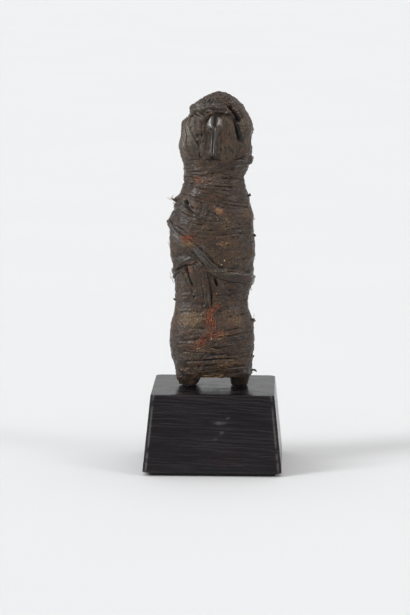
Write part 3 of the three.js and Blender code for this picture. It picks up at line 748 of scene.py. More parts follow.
# the scuff colour serves the front's scuffs and the painted highlight down the edges
plinthLook = {
    "black": paint(22, 19, 22), "line": paint(45, 39, 43), "red": paint(70, 36, 36),
    "scuffAndHighlight": paint(134, 130, 128),
}


def ebonisedFinish():
    f = Finish("ebonisedWood")
    place = f.place()
    waves = f.noise(f.stretched(place, (0.08, 0.08, 0.2)), 1, 3, 0.5)
    drift = f.node("ShaderNodeCombineXYZ", inputs={"Z": waves * 4 + f.axis(place, "X") * 0.1})
    level = f.stretched(place, (0.06, 0.18, 2.1))
    bent = f.node("ShaderNodeVectorMath", {"operation": "ADD"}, {0: level, 1: drift})
    grain = f.noise(bent, 1.5, 5, 0.65)
    pores = f.noise(bent, 0.5, 3, 0.6)
    reddened = f.between(f.noise(place, 14, 2), 0.6, 0.72) * f.between(pores, 0.5, 0.7) * 0.5
    colour = f.blend(plinthLook["black"], plinthLook["line"], f.between(grain, 0.42, 0.66))
    colour = f.blend(colour, plinthLook["red"], reddened)
    colour = f.blend(colour, plinthLook["scuffAndHighlight"], f.attribute("scuffsAndEdgeHighlight"))
    roughness = 0.19 + 0.14 * f.between(grain, 0.4, 0.7)
    normal = f.bump(grain * 0.6 + pores * 0.4, 0.2, 0.12)
    return f.surface(colour, roughness, normal, {"Specular IOR Level": 0.3})


def plainFibreFinish(name, light, dark):
    f = Finish(name)
    spots = f.noise(f.place(), 1.2, 3)
    colour = f.blend(dark, light, f.between(spots, 0.38, 0.62))
    return f.surface(colour, 0.6 + 0.2 * spots, f.bump(spots, 0.2, 0.1))


finishes = {
    "hide": hideFinish("crustedHide", 0.28, 0.3, 0.8, 0.7),
    "strap": hideFinish("strapHide", 0.19, 0.7, 0.3, 0.42),
    "wood": carvedWoodFinish(),
    "ebony": ebonisedFinish(),
    "redFibre": plainFibreFinish("redFibre", paint(184, 112, 72), paint(122, 60, 38)),
    "tanFibre": plainFibreFinish("tanFibre", paint(176, 146, 104), paint(120, 92, 62)),
    "darkFibre": plainFibreFinish("darkFibre", paint(46, 36, 30), paint(22, 17, 14)),
    "paleCrumb": plainFibreFinish("paleCrumb", paint(214, 198, 170), paint(170, 148, 112)),
}
print("finishes made")

# Coloured places on the wrapping: angle, height, reach around in degrees and up, colour and strength. Most
# are stains and dust; the painted sheen, glints and highlight among them are marked
stainsAndSheens = [
    # The first place here, light grey on the left cheek, is painted sheen from the left light on the straps
    (-60, 146, 20, 12, (132, 124, 110), 0.9), (-48, 61, 16, 7, (104, 90, 78), 0.5),
    # The first place here, the pale band round the neck, is painted glints
    (-4, 121.5, 36, 5, (118, 102, 88), 0.45), (60, 148, 16, 12, (118, 106, 94), 0.6),
    (-35, 131.5, 9, 3.2, (104, 74, 48), 0.8), (-33, 121.5, 8, 2.2, (132, 66, 42), 0.9),
    (-14, 121, 10, 2, (118, 90, 64), 0.7), (25, 121.4, 9, 1.6, (104, 76, 56), 0.5),
    (-32, 107, 6, 2.2, (112, 62, 40), 0.6), (14, 104.2, 7, 1.8, (196, 124, 88), 1.1),
    (58, 102.5, 9, 4, (102, 78, 42), 0.6), (24, 96, 14, 3.6, (106, 80, 44), 0.6),
    (-41, 88.2, 11, 0.9, (136, 60, 38), 0.8), (-33, 84.6, 12, 1.6, (130, 98, 58), 0.7),
    (12, 83, 22, 8, (68, 44, 30), 0.7), (33, 77, 16, 5, (92, 66, 38), 0.5),
    # The second place here and the first on the next line are painted bluish sheen along the chest strap
    (20, 85.4, 8, 1.2, (178, 118, 92), 1.1), (-24, 81.4, 8, 3.4, (94, 100, 104), 1),
    # The second place here and both on the next line are a painted highlight along the belt's upper edge
    (-13, 76.6, 8, 3, (88, 92, 94), 0.9), (16, 69.8, 12, 0.6, (156, 148, 140), 1.3),
    (38, 67.9, 14, 0.5, (152, 142, 134), 1.3), (58, 66.8, 12, 0.5, (126, 118, 112), 0.9),
    # The second place here is painted bluish glints on the bulge at the left of the chest
    (42, 64, 36, 2.4, (50, 42, 40), 0.9), (-64, 92, 9, 4, (92, 98, 102), 0.8),
    (-50, 76, 10, 1.6, (96, 102, 106), 0.9), (-41, 69.6, 4, 2.6, (140, 66, 38), 0.9),
    (-24, 66, 7, 7, (96, 66, 42), 0.6), (-56, 46.8, 10, 2.6, (112, 114, 116), 0.6),
    (-42, 40.6, 24, 4.2, (128, 92, 42), 0.9), (42, 41, 18, 3.6, (112, 78, 42), 0.8),
    (46, 47, 10, 2.4, (84, 84, 86), 0.6), (-3, 41, 8, 7, (128, 60, 32), 0.8),
    (2, 33, 14, 3, (124, 64, 36), 0.7), (-26, 26.4, 14, 3.6, (122, 70, 38), 0.8),
    # The second place here darkens the bottom of the wrapping at the left front
    (-14, 34, 14, 1.8, (76, 80, 82), 0.6), (-40, 2, 40, 4, (36, 31, 28), 1.6),
    (30, 15.6, 18, 3, (112, 82, 48), 0.7),
]


def surfaceLooks(angle, z, shadeAndSheen):
    colour = np.zeros(angle.shape + (4,))
    colour[..., 3] = 1
    weight = np.zeros(angle.shape)
    for k, (middle, level, reachAngle, reachUp, shade, strength) in enumerate(stainsAndSheens):
        around = np.radians(wrapAngle(angle - middle)) * meanRadius
        ragged = 1 + 0.5 * softNoise(around / 3 + 50, z / 2, 300 + k)
        spread = (around / (math.radians(reachAngle) * meanRadius)) ** 2 + ((z - level) / reachUp) ** 2
        part = strength * np.exp(-spread * ragged)
        colour[..., :3] += part[..., None] * np.array(paint(*shade)[:3])
        weight += part
    colour[..., :3] /= np.maximum(weight, 1e-6)[..., None]
    stainAndSheenAmount = np.clip(weight, 0, 1).ravel()
    return {"shadeAndSheen": shadeAndSheen.ravel(), "stainAndSheenColour": colour.reshape(-1, 4), "stainAndSheenAmount": stainAndSheenAmount}


# The windings as a whole, then cut into the pieces that stand for the bindings
faceOpening = {"x": 4.2, "z": 146.2, "halfWidth": 12.2, "halfHeight": 14.4, "depth": -4.2, "power": 2.6}
openingRim = [
    (1.7, 1.5, [(-13, 160.4), (-20, 159.4), (-24.5, 156), (-25.4, 149), (-25.6, 142), (-25.4, 136.4)]),
]
hem = {"left": 1.3, "right": 6.9, "from": 44, "to": 68}
# Lumps of the crust: height, size around in degrees and along in millimetres, seed, cells in a turn
lumps = {
    "slow": (0.4, 18, 7, 11, 20), "medium": (0.24, 6, 1.7, 12, 60), "fibre": (0.07, 9, 0.62, 17),
    "arches": (0.22, 16, 0.7, 19), "crust": (0.13, 2.4, 0.9, 13, 150), "grit": (0.09, 1.2, 0.42, 14, 300),
}
# Strands over the crown, which arch up at the front
strands = {"height": 0.85, "period": 2.1, "crest": 0.9, "wander": 1.2, "arch": 7, "archMiddle": 8}
# Calmer places: angle, height, reach around and up, and how much
calmPlaces = [(-41, 149, 8, 7, 1), (60, 146, 12, 9, 0.6), (34, 65, 30, 3, 0.7)]
# Painted shade: places darkened as if shaded, beside and under the brow and nose, along the mouth line and in
# the two gaps on the right
paintedShadeLines = [
    (3.4, 0.45, [(-19, 149), (-19.5, 137)]), (1.3, 1, [(-8, 158.9), (10, 159.1)]),
    (1.3, 1, [(-5.2, 159), (-5.4, 152.4)]), (0.6, 0.8, [(-7, 150), (-7.6, 138)]),
    (1, 0.9, [(-12.5, 151.6), (-8.5, 150.6)]), (0.9, 1, [(-9.5, 134.8), (-4.9, 134.4)]),
    (0.7, 0.7, [(-22, 133.2), (-8.3, 133.6), (11.6, 133)]),
    (1, 1.4, [(33, 163.8), (36.5, 161.8), (40.5, 159.6), (44, 156.4)]),
    (1.5, 1, [(37.5, 161.2), (40.5, 159.4)]),
    (1.1, 1.5, [(37.5, 156), (41.5, 150.6), (44.5, 147), (46, 144.6)]),
]


def lump(name, shift=0):
    rise, *size = lumps[name]
    return rise * ripples(*size, shift=shift)


paintedShadeMap = drawLines(paintedShadeLines)
lines = drawLines(sum(strokes.values(), []))
bend = strands["arch"] * np.cos(np.radians(gridAngle - strands["archMiddle"]))
onCrown = smooth(gridHeight, 155, 160)
combed = onCrown * (1 - 0.8 * smooth(gridHeight, 168.6, 170.4))
wavering = gridArc + bend + strands["wander"] * ripples(22, 4, 20)
fine = lines + lump("slow")
fine += (1 - 0.4 * onCrown) * lump("medium")
fine += (1 + 2 * smooth(gridHeight, 116, 132)) * lump("fibre", -0.045 * gridAngle)
fine += onCrown * lump("arches", bend)
arched = np.abs(np.sin(math.pi * wavering / strands["period"]))
fine += strands["height"] * combed * (arched - strands["crest"])
fine += (1 - 0.6 * combed) * lump("crust") + lump("grit")
swell = drawSwells()
height = windBody()
height = height - blur(height, 5.5) + 0.4 + swell + fine - lines
calm = sum(share * bell(wrapAngle(gridAngle - angle), around) * bell(gridHeight - z, up)
           for angle, z, around, up, share in calmPlaces)
height = mix(height, blur(height, 1.5), np.clip(calm, 0, 1)) + lines
acrossFace = axisAt(gridHeight) + gridRadius * np.sin(np.radians(gridAngle)) - faceOpening["x"]
acrossFace = acrossFace / faceOpening["halfWidth"]
upFace = (gridHeight - faceOpening["z"]) / faceOpening["halfHeight"]
power = faceOpening["power"]
ellipse = (np.abs(acrossFace) ** power + np.abs(upFace) ** power) ** (1 / power)
ellipse = np.where(np.abs(gridAngle) < 90, ellipse, 9) + 0.05 * ripples(6, 2, 15, 60)
gentle = np.maximum(smooth(acrossFace - upFace, -0.1, 1), 0.8 * smooth(-acrossFace, 0.3, 0.8))
opened = 1 - smooth(ellipse, mix(0.9, 0.62, gentle), 1.02)
height = mix(height, faceOpening["depth"], opened) + drawLines(openingRim)
surround = 0.6 * blur(height, 0.9) + 0.4 * blur(height, 2.6)

seams = {
    "head": lambda a: 127.4 + 4 * np.sin(np.radians(a)),
    "neck": lambda a: 111.6 - 4 * np.sin(np.radians(a)),
    "shoulder": lambda a: 92.6 - 2.4 * np.sin(np.radians(a)),
    "chest": lambda a: 69.6 + 0.8 * np.sin(np.radians(a + 40)),
    "waist": lambda a: 51 + 0.6 * np.sin(np.radians(2 * a)),
    "hem": lambda a: mix(hem["left"], hem["right"], smooth(np.abs(wrapAngle(a + 90)), hem["from"], hem["to"]))
    + 0.3 * softNoise(a / 5, a * 0, 16, 72) + 0.25 * softNoise(a / 1.5, a * 0, 18, 240),
}
# Each end of a winding turns in towards the wood: how deep, and how far from the end. Ends and undersides
# get painted shade, as dark as a hollow of this depth
rimSteps = [(-2.6, 0.3), (-1.2, 0.12)]
hiddenShade = -0.4


def windingPiece(name, node, low, high):
    crowned = high == "top"
    lowArc = arcOf(seams[low](columnAngle))
    highArc = np.full_like(lowArc, rowArc[-1]) if crowned else arcOf(seams[high](columnAngle))
    share = np.linspace(0, 1, int((highArc - lowArc).max() / rowStep))[:, None]
    arc = lowArc * (1 - share) + highArc * share
    angle = np.repeat(columnAngle[None, :], len(arc), axis=0)
    off = sample(height, angle, arc)
    # Relief against the surroundings, less the painted shade lines: the hide shader paints shade where this
    # is low and sheen where it is high
    shadeAndSheen = off - sample(surround, angle, arc) - sample(paintedShadeMap, angle, arc)
    below = [(off[0] + drop, arc[0] + inset) for drop, inset in rimSteps]
    above = [] if crowned else [(off[-1] + drop, arc[-1] - inset) for drop, inset in reversed(rimSteps)]
    shadeAndSheen = np.pad(shadeAndSheen, ((len(below), len(above)), (0, 0)), constant_values=hiddenShade)
    off = np.vstack([row[0] for row in below] + [off] + [row[0] for row in above])
    arc = np.vstack([row[1] for row in below] + [arc] + [row[1] for row in above])
    angle = np.repeat(columnAngle[None, :], len(arc), axis=0)
    z = heightOf(arc)
    points = bodyPoint(angle, z, off).reshape(-1, 3)
    faces = gridFaces(len(arc), gridColumns)
    if crowned:
        crownPoint = bodyPoint(np.array([0.0]), np.array([body["height"]]), np.array([off[-1].mean()]))
        crownPoint[0, 0] = body["headAxis"]
        points = np.vstack([points, crownPoint])
        inside = np.append(sample(opened, angle, arc).ravel() > 0.995, False)
        faces = faces[~inside[faces].all(axis=1)]
        ring = (len(arc) - 1) * gridColumns + np.arange(gridColumns)
        top = np.full_like(ring, len(points) - 1)
        faces = np.vstack([faces, np.stack([ring, np.roll(ring, -1), top, top], axis=1)])
        angle, z, shadeAndSheen = np.append(angle, 0), np.append(z, body["height"]), np.append(shadeAndSheen, 0)
    piece = makeMesh(name, points, faces, finishes["hide"], surfaceLooks(angle, z, shadeAndSheen), node)
    if crowned:
        repair(piece, closing=False)


windings = [
    ("headTurns", "head_binding", "head", "top"), ("neckTurns", "neck_binding", "neck", "head"),
    ("shoulderTurns", "shoulder_binding", "shoulder", "neck"),
    ("chestTurns", "chest_binding", "chest", "shoulder"), ("waistTurns", "waist_binding", "waist", "chest"),
    ("legTurns", "leg_binding", "hem", "waist"),
]
for winding in windings:
    windingPiece(*winding)
print("windings made")

# Straps over the windings, in the order they were tied. A ring has a height and a tilt instead of a
# route. A ridge is its place across, rise and width, and a lump its place along, rise and reach
plainStrap = {
    "curl": 0.4, "wrinkle": 0.16, "carries": 0.35, "tuck": 3, "shade": 1.3, "soft": False,
    "ridges": [], "lumps": [],
}
straps = {
    "chinStrap": {
        "node": "chin_strap", "width": 5, "thickness": 0.7, "ring": (128.4, 3.6),
        "ridges": [(0.5, 0.35, 0.2)]},
    "browStrap": {
        "node": "brow_strap", "width": 7, "thickness": 0.8, "curl": 0.1, "wrinkle": 0.1, "carries": 0.55,
        "route": [(-104, 157.6), (-78, 160.4), (-54, 162.4), (-33, 162.8), (-11, 163.4), (15, 163),
                  (30, 161.6)],
        "soft": True, "lumps": [(11, 0.9, 4)], "ridges": [(-0.3, 0.2, 0.2)]},
    "leftCheekStrip": {
        "node": "left_cheek_strip", "width": 3, "thickness": 0.7,
        "curl": 0.2, "wrinkle": 0.08, "carries": 0.1,
        "route": [(-62, 156.4), (-54, 150.1), (-46.5, 144.6), (-41.6, 138.9), (-38.4, 133)], "shade": 0.6,
        "widens": (1.9, 2, 20), "ridges": [(-0.8, 0.9, 0.15), (0.1, 0.3, 0.1), (0.85, 1.3, 0.16)]},
    "leftCheekStrap": {
        "node": "left_cheek_strap", "width": 7.6, "thickness": 1,
        "curl": 0.2, "wrinkle": 0.1, "carries": 0.15,
        "route": [(-80, 157.2), (-74, 150.8), (-68, 144.8), (-62, 138.6), (-57, 132.4)], "shade": 0.6,
        "ridges": [(-0.5, 0.4, 0.14), (0, 0.35, 0.12), (0.5, 0.45, 0.14)]},
    "rightCheekStrip": {
        "node": "right_cheek_strip", "width": 3, "thickness": 0.7,
        "route": [(28, 160), (33, 156), (39, 150), (45, 143)]},
    "rightCheekStrap": {
        "node": "right_cheek_strap", "width": 7.4, "thickness": 0.8, "curl": 0.1, "soft": True, "tuck": 7,
        "route": [(32, 166.6), (49, 164.4), (58, 160.4), (62.5, 154), (61.5, 147), (59, 141), (62, 133)],
        "ridges": [(0.6, 0.5, 0.2), (-0.2, 0.3, 0.22)]},
    "shoulderStrap": {
        "node": "shoulder_strap", "width": 5.4, "thickness": 0.55, "ring": (112.2, -3.8),
        "ridges": [(0.6, 0.4, 0.18)]},
    "shoulderLoop": {
        "node": "shoulder_loop", "width": 4.2, "thickness": 0.8, "ridges": [(0.1, 0.5, 0.3)],
        "route": [(-84, 104), (-70, 105.4), (-56, 104.6), (-42, 102), (-28, 99.4), (-12, 98)]},
    "outerWaistStrip": {
        "node": "waist_strip_outer", "width": 7.2, "thickness": 0.55,
        "route": [(-64, 69), (-58, 63.6), (-52, 58.4), (-45, 51)]},
    "innerWaistStrip": {
        "node": "waist_strip_inner", "width": 6.8, "thickness": 0.55,
        "route": [(-36, 72), (-29, 65), (-25, 58), (-20, 50)]},
    "sideStrap": {
        "node": "side_strap", "width": 4.6, "thickness": 0.9, "ridges": [(0.3, 0.5, 0.25)],
        "route": [(-112, 62), (-94, 64.6), (-76, 67.4), (-58, 70.6), (-43, 74.4), (-27, 77)]},
    "chestStrap": {
        "node": "chest_strap", "width": 4, "thickness": 0.7, "curl": 0.3, "wrinkle": 0.08, "carries": 0.2,
        "route": [(-130, 103), (-104, 99.5), (-84, 95.8), (-67, 92.6), (-53, 88.6), (-35, 84.6), (-23, 80.4),
                  (-10, 75.2), (1, 70.8), (12, 68), (28, 66.4), (46, 65.1), (60, 64.2), (74, 63.4),
                  (90, 62.2), (110, 60.4), (128, 59)],
        "widens": (1.5, 46, 60), "ridges": [(0.66, 0.9, 0.2), (-0.4, 0.25, 0.3)]},
    "hangingThong": {
        "node": "hanging_thong", "width": 3, "thickness": 1, "ridges": [(-0.6, 0.6, 0.2)],
        "route": [(-14, 69), (-12, 64.4), (-9.6, 58.6), (-7.6, 53), (-6.4, 47.6)]},
}


def averaged(top):  # a soft average along and across a strap
    kernel = np.exp(-np.linspace(-2, 2, 9) ** 2)
    kernel /= kernel.sum()
    padded = np.pad(top, 4, mode="edge")
    once = sum(k * padded[i:i + top.shape[0]] for i, k in enumerate(kernel))
    return sum(k * once[:, i:i + top.shape[1]] for i, k in enumerate(kernel))


def strapPiece(name, strap, seed):
    global height
    gridA, gridS, top, under = strapGrid(strap, height, seed)
    lanes = gridA.shape[1]
    picked = [lanes - 1, 3 * lanes // 4, lanes // 2, lanes // 4, 0]  # the lanes that the underside keeps
    # Relief along and across the strap, less the painted shade lines: painted shade where low, painted sheen
    # where high
    shadeAndSheen = top - averaged(top) - sample(paintedShadeMap, gridA, gridS)
    shadeAndSheen = strap["shade"] * np.hstack([shadeAndSheen, np.full((len(top), len(picked)), hiddenShade)])
    angle = np.hstack([gridA, gridA[:, picked]])
    z = heightOf(np.hstack([gridS, gridS[:, picked]]))
    points = bodyPoint(angle, z, np.hstack([top, under[:, picked]]))
    ring = "ring" in strap
    if ring:
        angle, z, points, shadeAndSheen = angle[:-1], z[:-1], points[:-1], shadeAndSheen[:-1]
    faces = gridFaces(*angle.shape, closed=ring)
    points, looks = points.reshape(-1, 3), surfaceLooks(angle, z, shadeAndSheen)
    piece = makeMesh(name, points, faces, finishes["strap"], looks, strap["node"])
    if not ring:
        repair(piece, closing=True)
    height = pressInto(height, gridA, gridS, top)


for k, (name, strap) in enumerate(straps.items()):
    strapPiece(name, {**plainStrap, **strap}, 500 + 11 * k)
print("straps tied")

# Loose fibres, hairs and twigs that work out of the wrapping. A place is an angle, a height and,
# where the fibre stands clear, how far out it is
fibres = {
    "redFibres": {
        "finish": "redFibre", "seed": 71, "radius": 0.12, "each": 8, "scatter": 0.9, "lift": (0.1, 0.5),
        "routes": [
            [(21.6, 51.4), (11.7, 48.3), (1.6, 43.8)], [(13.3, 50.5), (3.6, 47.2), (-3.3, 43.8)],
            [(2.6, 48.6), (-4.4, 44.9), (-6.2, 40.9)], [(0, 44.9), (-1.2, 40.4), (3.1, 36.2)],
            [(-7.1, 43.2), (-7.6, 39.8), (-2.8, 36.4)], [(4.5, 42.1), (1.7, 38.7), (2.6, 34.1)],
            [(-10.4, 45.4), (-7, 42.1), (-1, 37.5)], [(-8.1, 32.9), (-20.1, 29.3), (-31.9, 25.6)],
            [(-2.7, 29.4), (-18.5, 27.9), (-31.9, 25.8)], [(0.8, 34.1), (-0.9, 31.8), (-6.2, 29.4)],
            [(-2.7, 31.2), (11.4, 32.7), (23.3, 33.8), (41, 33)], [(-49.3, 88.2), (-40, 88.7), (-29.3, 88)],
            [(-47.7, 86.7), (-38.5, 87.5), (-26.1, 86.3)], [(-44.6, 89.1), (-35.4, 89), (-26.2, 88.3)],
            [(-49.5, 120.7), (-41, 122), (-32.1, 121.5)],
        ],
    },
    "tanFibres": {
        "finish": "tanFibre", "seed": 72, "radius": 0.13, "each": 5, "scatter": 0.7, "lift": (0.1, 0.5),
        "routes": [
            [(-46.2, 85.3), (-35.4, 84.7), (-23, 83.7)], [(-41.6, 83.7), (-32.4, 84.2), (-24.5, 85.1)],
            [(12.2, 83.3), (20.4, 85.3), (29.9, 87.5)], [(17.2, 83), (25.2, 84.4), (31.4, 85.8)],
            [(-29.1, 23), (-8.3, 22.9), (18.9, 22.6)], [(2.6, 30), (18.3, 31.8), (33.1, 33.4)],
            [(-48, 122.4), (-38.4, 121.1), (-29.2, 120.1)], [(8, 105.6), (14, 104), (20, 103.4)],
            [(46, 16.6), (36, 16.2), (28, 16.4)], [(-28, 7.6), (-8, 7.3), (10, 7.4)],
            [(2, 7.4), (18, 7.4), (30, 7.9)],
        ],
    },
    "twigs": {
        "finish": "darkFibre", "seed": 73, "radius": 0.46, "each": 3, "scatter": 0.3, "lift": (0, 0.1),
        "routes": [
            [(-76, 108.4, 0), (-82, 109.6, 0.8), (-86, 110, 2)],
            [(84, 111.4, 0), (88, 111.6, 0.8), (91, 111.8, 2)], [(88, 111.6, 0.8), (90, 112.6, 1.6)],
            [(-84, 50.6, 0), (-88, 51, 1.4)], [(84, 38.6, 0), (89, 39.4, 1.8)],
            [(83, 9.4, 0), (88, 9.2, 1.6), (91, 8, 2.6)], [(88, 17.4, 0), (90, 17, 1.2)],
            [(86, 88, 0), (90, 88.6, 1)],
        ],
    },
    "hairs": {
        "finish": "redFibre", "seed": 74, "radius": 0.08, "each": 3, "scatter": 0.5, "lift": (0, 0.3),
        "routes": [
            [(-78, 108, 0.4), (-84, 110.2, 2), (-88, 111.6, 4)],
            [(-76, 109, 0.4), (-84, 109.4, 3), (-88, 109.2, 5)],
            [(-76, 108, 0.4), (-82, 107, 1), (-86, 105.4, 1.2)],
            [(-84, 62, 0.4), (-90, 64, 1.2), (-92, 67, 1.2)],
            [(-84, 60.4, 0.4), (-90, 61, 1), (-92, 64, 1.6)],
            [(82, 38, 0.3), (90, 40.6, 1.6), (93, 41, 2.2)], [(84, 56, 0.3), (89, 57, 1.4)],
            [(86, 97, 0.3), (90, 98, 1.2)], [(-88, 82, 0.3), (-91, 84, 1.1)],
        ],
    },
}
fibreSteps = 9


def strandMesh(line, radius):  # a square-sided hair that tapers to both ends
    along = np.gradient(line, axis=0)
    along /= np.linalg.norm(along, axis=1)[:, None]
    first = np.cross(along, np.array([0.3, 0.9, 0.31]))
    first /= np.linalg.norm(first, axis=1)[:, None]
    second = np.cross(along, first)
    reach = (radius * (0.15 + 0.85 * (1 - np.linspace(-1, 1, len(line)) ** 4)))[:, None]
    rings = [line + reach * (first * c + second * s) for c, s in ((1, 0), (0, 1), (-1, 0), (0, -1))]
    last = 4 * (len(line) - 1)
    faces = np.vstack([gridFaces(len(line), 4), [[3, 2, 1, 0], [last, last + 1, last + 2, last + 3]]])
    return np.stack(rings, axis=1).reshape(-1, 3), faces


def fibrePiece(name, spec):
    rng = np.random.RandomState(spec["seed"])
    allPoints, allFaces, count = [], [], 0
    wave = np.linspace(0, 1, fibreSteps)
    for route in spec["routes"]:
        guide = np.array([place if len(place) == 3 else (*place, 0) for place in route], float)
        for _ in range(spec["each"]):
            start, end = sorted(rng.uniform(0, 1, 2))
            clear = guide[:, 2].any()
            start, end = (0, max(end, 0.75)) if clear else (start * 0.6, max(end, start * 0.6 + 0.4))
            t = np.linspace(start, end, fibreSteps) * (len(guide) - 1)
            angle, z, out = (np.interp(t, np.arange(len(guide)), guide[:, i]) for i in range(3))
            angle = angle + rng.normal(0, spec["scatter"]) * 2.6
            angle = angle + rng.normal(0, 1) * np.sin(3 * wave + rng.uniform(0, 6))
            z = z + rng.normal(0, spec["scatter"])
            z = z + rng.normal(0, 0.35) * np.sin(4 * wave + rng.uniform(0, 6))
            ground = sample(height, angle, arcOf(z))
            off = ground + 0.02 + out + rng.uniform(*spec["lift"]) * np.sin(math.pi * wave)
            points, faces = strandMesh(bodyPoint(angle, z, off), spec["radius"] * rng.uniform(0.6, 1.2))
            allFaces.append(faces + count)
            allPoints.append(points)
            count += len(points)
    makeMesh(name, np.vstack(allPoints), np.vstack(allFaces), finishes[spec["finish"]])


for name, spec in fibres.items():
    fibrePiece(name, spec)

# Crumbs stuck to the crust: middle, reach around and up, how many, and their size
crumbs = {
    "paleCrumbs": {"finish": "paleCrumb", "seed": 81, "places": [
        (22, 75.7, 0.1, 0.1, 1, 0.5), (17.2, 73.1, 0.1, 0.1, 1, 0.4), (-24.9, 23.2, 1.6, 0.5, 5, 0.42),
        (-0.9, 30.4, 1.2, 0.3, 3, 0.4), (-58, 143.4, 0.1, 0.1, 1, 0.35), (-12.4, 102.4, 0.1, 0.1, 1, 0.3),
        (-57.4, 10.6, 0.1, 0.1, 1, 0.5), (-60.9, 21.1, 0.1, 0.1, 1, 0.35), (10, 60, 30, 40, 24, 0.2),
    ]},
    "tanCrumbs": {"finish": "tanFibre", "seed": 82, "places": [
        (-42, 40.6, 12, 2.2, 60, 0.26), (42, 41, 9, 2, 30, 0.24), (24, 96.5, 9, 2, 40, 0.24),
        (58, 102.5, 6, 2, 24, 0.24), (-34, 84.4, 7, 0.8, 26, 0.24), (33, 77, 10, 3, 30, 0.22),
        (14, 104, 4, 1, 16, 0.28), (30, 16, 12, 2, 24, 0.24), (-30, 107, 4, 1.4, 10, 0.22),
        (20, 86, 8, 1, 6, 0.24), (0, 70, 60, 45, 110, 0.17), (0, 145, 70, 12, 40, 0.16),
    ]},
}
crumbHeights = (8, 166)


def crumbPiece(name, spec):
    rng = np.random.RandomState(spec["seed"])
    golden = (1 + math.sqrt(5)) / 2
    corners = np.array([
        (-1, golden, 0), (1, golden, 0), (-1, -golden, 0), (1, -golden, 0), (0, -1, golden), (0, 1, golden),
        (0, -1, -golden), (0, 1, -golden), (golden, 0, -1), (golden, 0, 1), (-golden, 0, -1),
        (-golden, 0, 1)])
    corners /= np.linalg.norm(corners[0])
    sides = np.array([
        (0, 11, 5), (0, 5, 1), (0, 1, 7), (0, 7, 10), (0, 10, 11), (1, 5, 9), (5, 11, 4), (11, 10, 2),
        (10, 7, 6), (7, 1, 8), (3, 9, 4), (3, 4, 2), (3, 2, 6), (3, 6, 8), (3, 8, 9), (4, 9, 5), (2, 4, 11),
        (6, 2, 10), (8, 6, 7), (9, 8, 1)])
    allPoints = []
    for angle, z, reachX, reachZ, count, size in spec["places"]:
        for _ in range(count):
            a, h = np.array([rng.normal(angle, reachX)]), np.array([rng.normal(z, reachZ)])
            h = np.clip(h, *crumbHeights)
            middle = bodyPoint(a, h, sample(height, a, arcOf(h)) + 0.25 * size)
            stretch = rng.uniform(0.6, 1.4, 3) * size
            crumb = corners * stretch * rng.uniform(0.6, 1.3) * rng.uniform(0.8, 1.2, (12, 1))
            allPoints.append(middle + crumb)
    faces = np.vstack([sides + 12 * k for k in range(len(allPoints))])
    makeMesh(name, np.vstack(allPoints), faces, finishes[spec["finish"]])


for name, spec in crumbs.items():
    crumbPiece(name, spec)
print("fibres and crumbs laid")

# The carved wood: trunk and head in one, with stub legs under the hem. The face has a rounded brow that
# narrows into a long nose, with cheeks, hollows beside the nose and at the gaps, and a mouth line
wood = {
    "trunkDepth": 3, "headDepth": 2.4, "columns": 360, "grain": 0.05, "mostPolish": 1.2, "legPolish": 0.4,
}
faceLines = [
    (5.8, (1.9, 1.8), [(-5, 157.6), (-5.4, 152.6)]), (4.2, (1.7, 0.8), [(-6.6, 150.4), (-8.4, 144)]),
    (8, 1.3, [(-20, 158), (-21, 138)]), (5, 0.9, [(27, 153), (35, 143)]),
    (14, 3.7, [(-14, 133), (20, 133)]), (0.9, -0.9, [(-9.5, 134.8), (-4.9, 134.4)]),
    (3, (1, 2.8), [(-6.8, 149), (-7.2, 145.5), (-7.2, 140.6), (-7, 136.8)]),
    (2, -0.7, [(2, 146), (2.4, 139.6)]), (2, -0.9, [(-17, 148), (-18, 139.8)]),
    (1.8, -1.6, [(-5, 161.2), (12, 161.4)]), (2, -2, [(32, 164), (36.5, 161.6), (41, 159.2), (44.6, 156)]),
    (0.9, -2.4, [(36, 156), (40, 150.4), (43, 144.6)]),
    (0.6, -0.5, [(-22, 133.2), (-8.3, 133.6), (11.6, 133)]),
]
faceMap = drawLines(faceLines)
# Where hands have rubbed the face to a gloss
rubbedLines = [
    (1.6, 0.95, [(-13.6, 156.2), (-13.2, 153.4)]), (1.8, 0.85, [(2.4, 155.9), (2.4, 153.9)]),
    (1, 0.55, [(-10.6, 150), (-10.4, 138.6)]), (1.1, 1.7, [(-4.2, 150.8), (-3.4, 137.4)]),
    (1, -0.9, [(-5.4, 159.4), (-5.2, 152.4)]), (1.3, -0.8, [(-13, 159.6), (4, 159.6)]),
]
polishedMap = drawLines(rubbedLines)

# Each leg: middle of its sole and of its top, half sizes there, how far the toe is raised, and how deep the
# painted shade on it is
legs = [
    {"sole": (-14.4, -0.6), "soleHalf": (4.7, 9.4), "top": (-15, 0), "topHalf": (6.2, 12),
     "toe": 0.9, "dark": 0.62, "seed": 31},
    {"sole": (14.8, -0.2), "soleHalf": (5, 9.2), "top": (15.2, 0), "topHalf": (6.6, 12.2),
     "toe": 0.5, "dark": 0.3, "seed": 32},
]
legHeight = 11


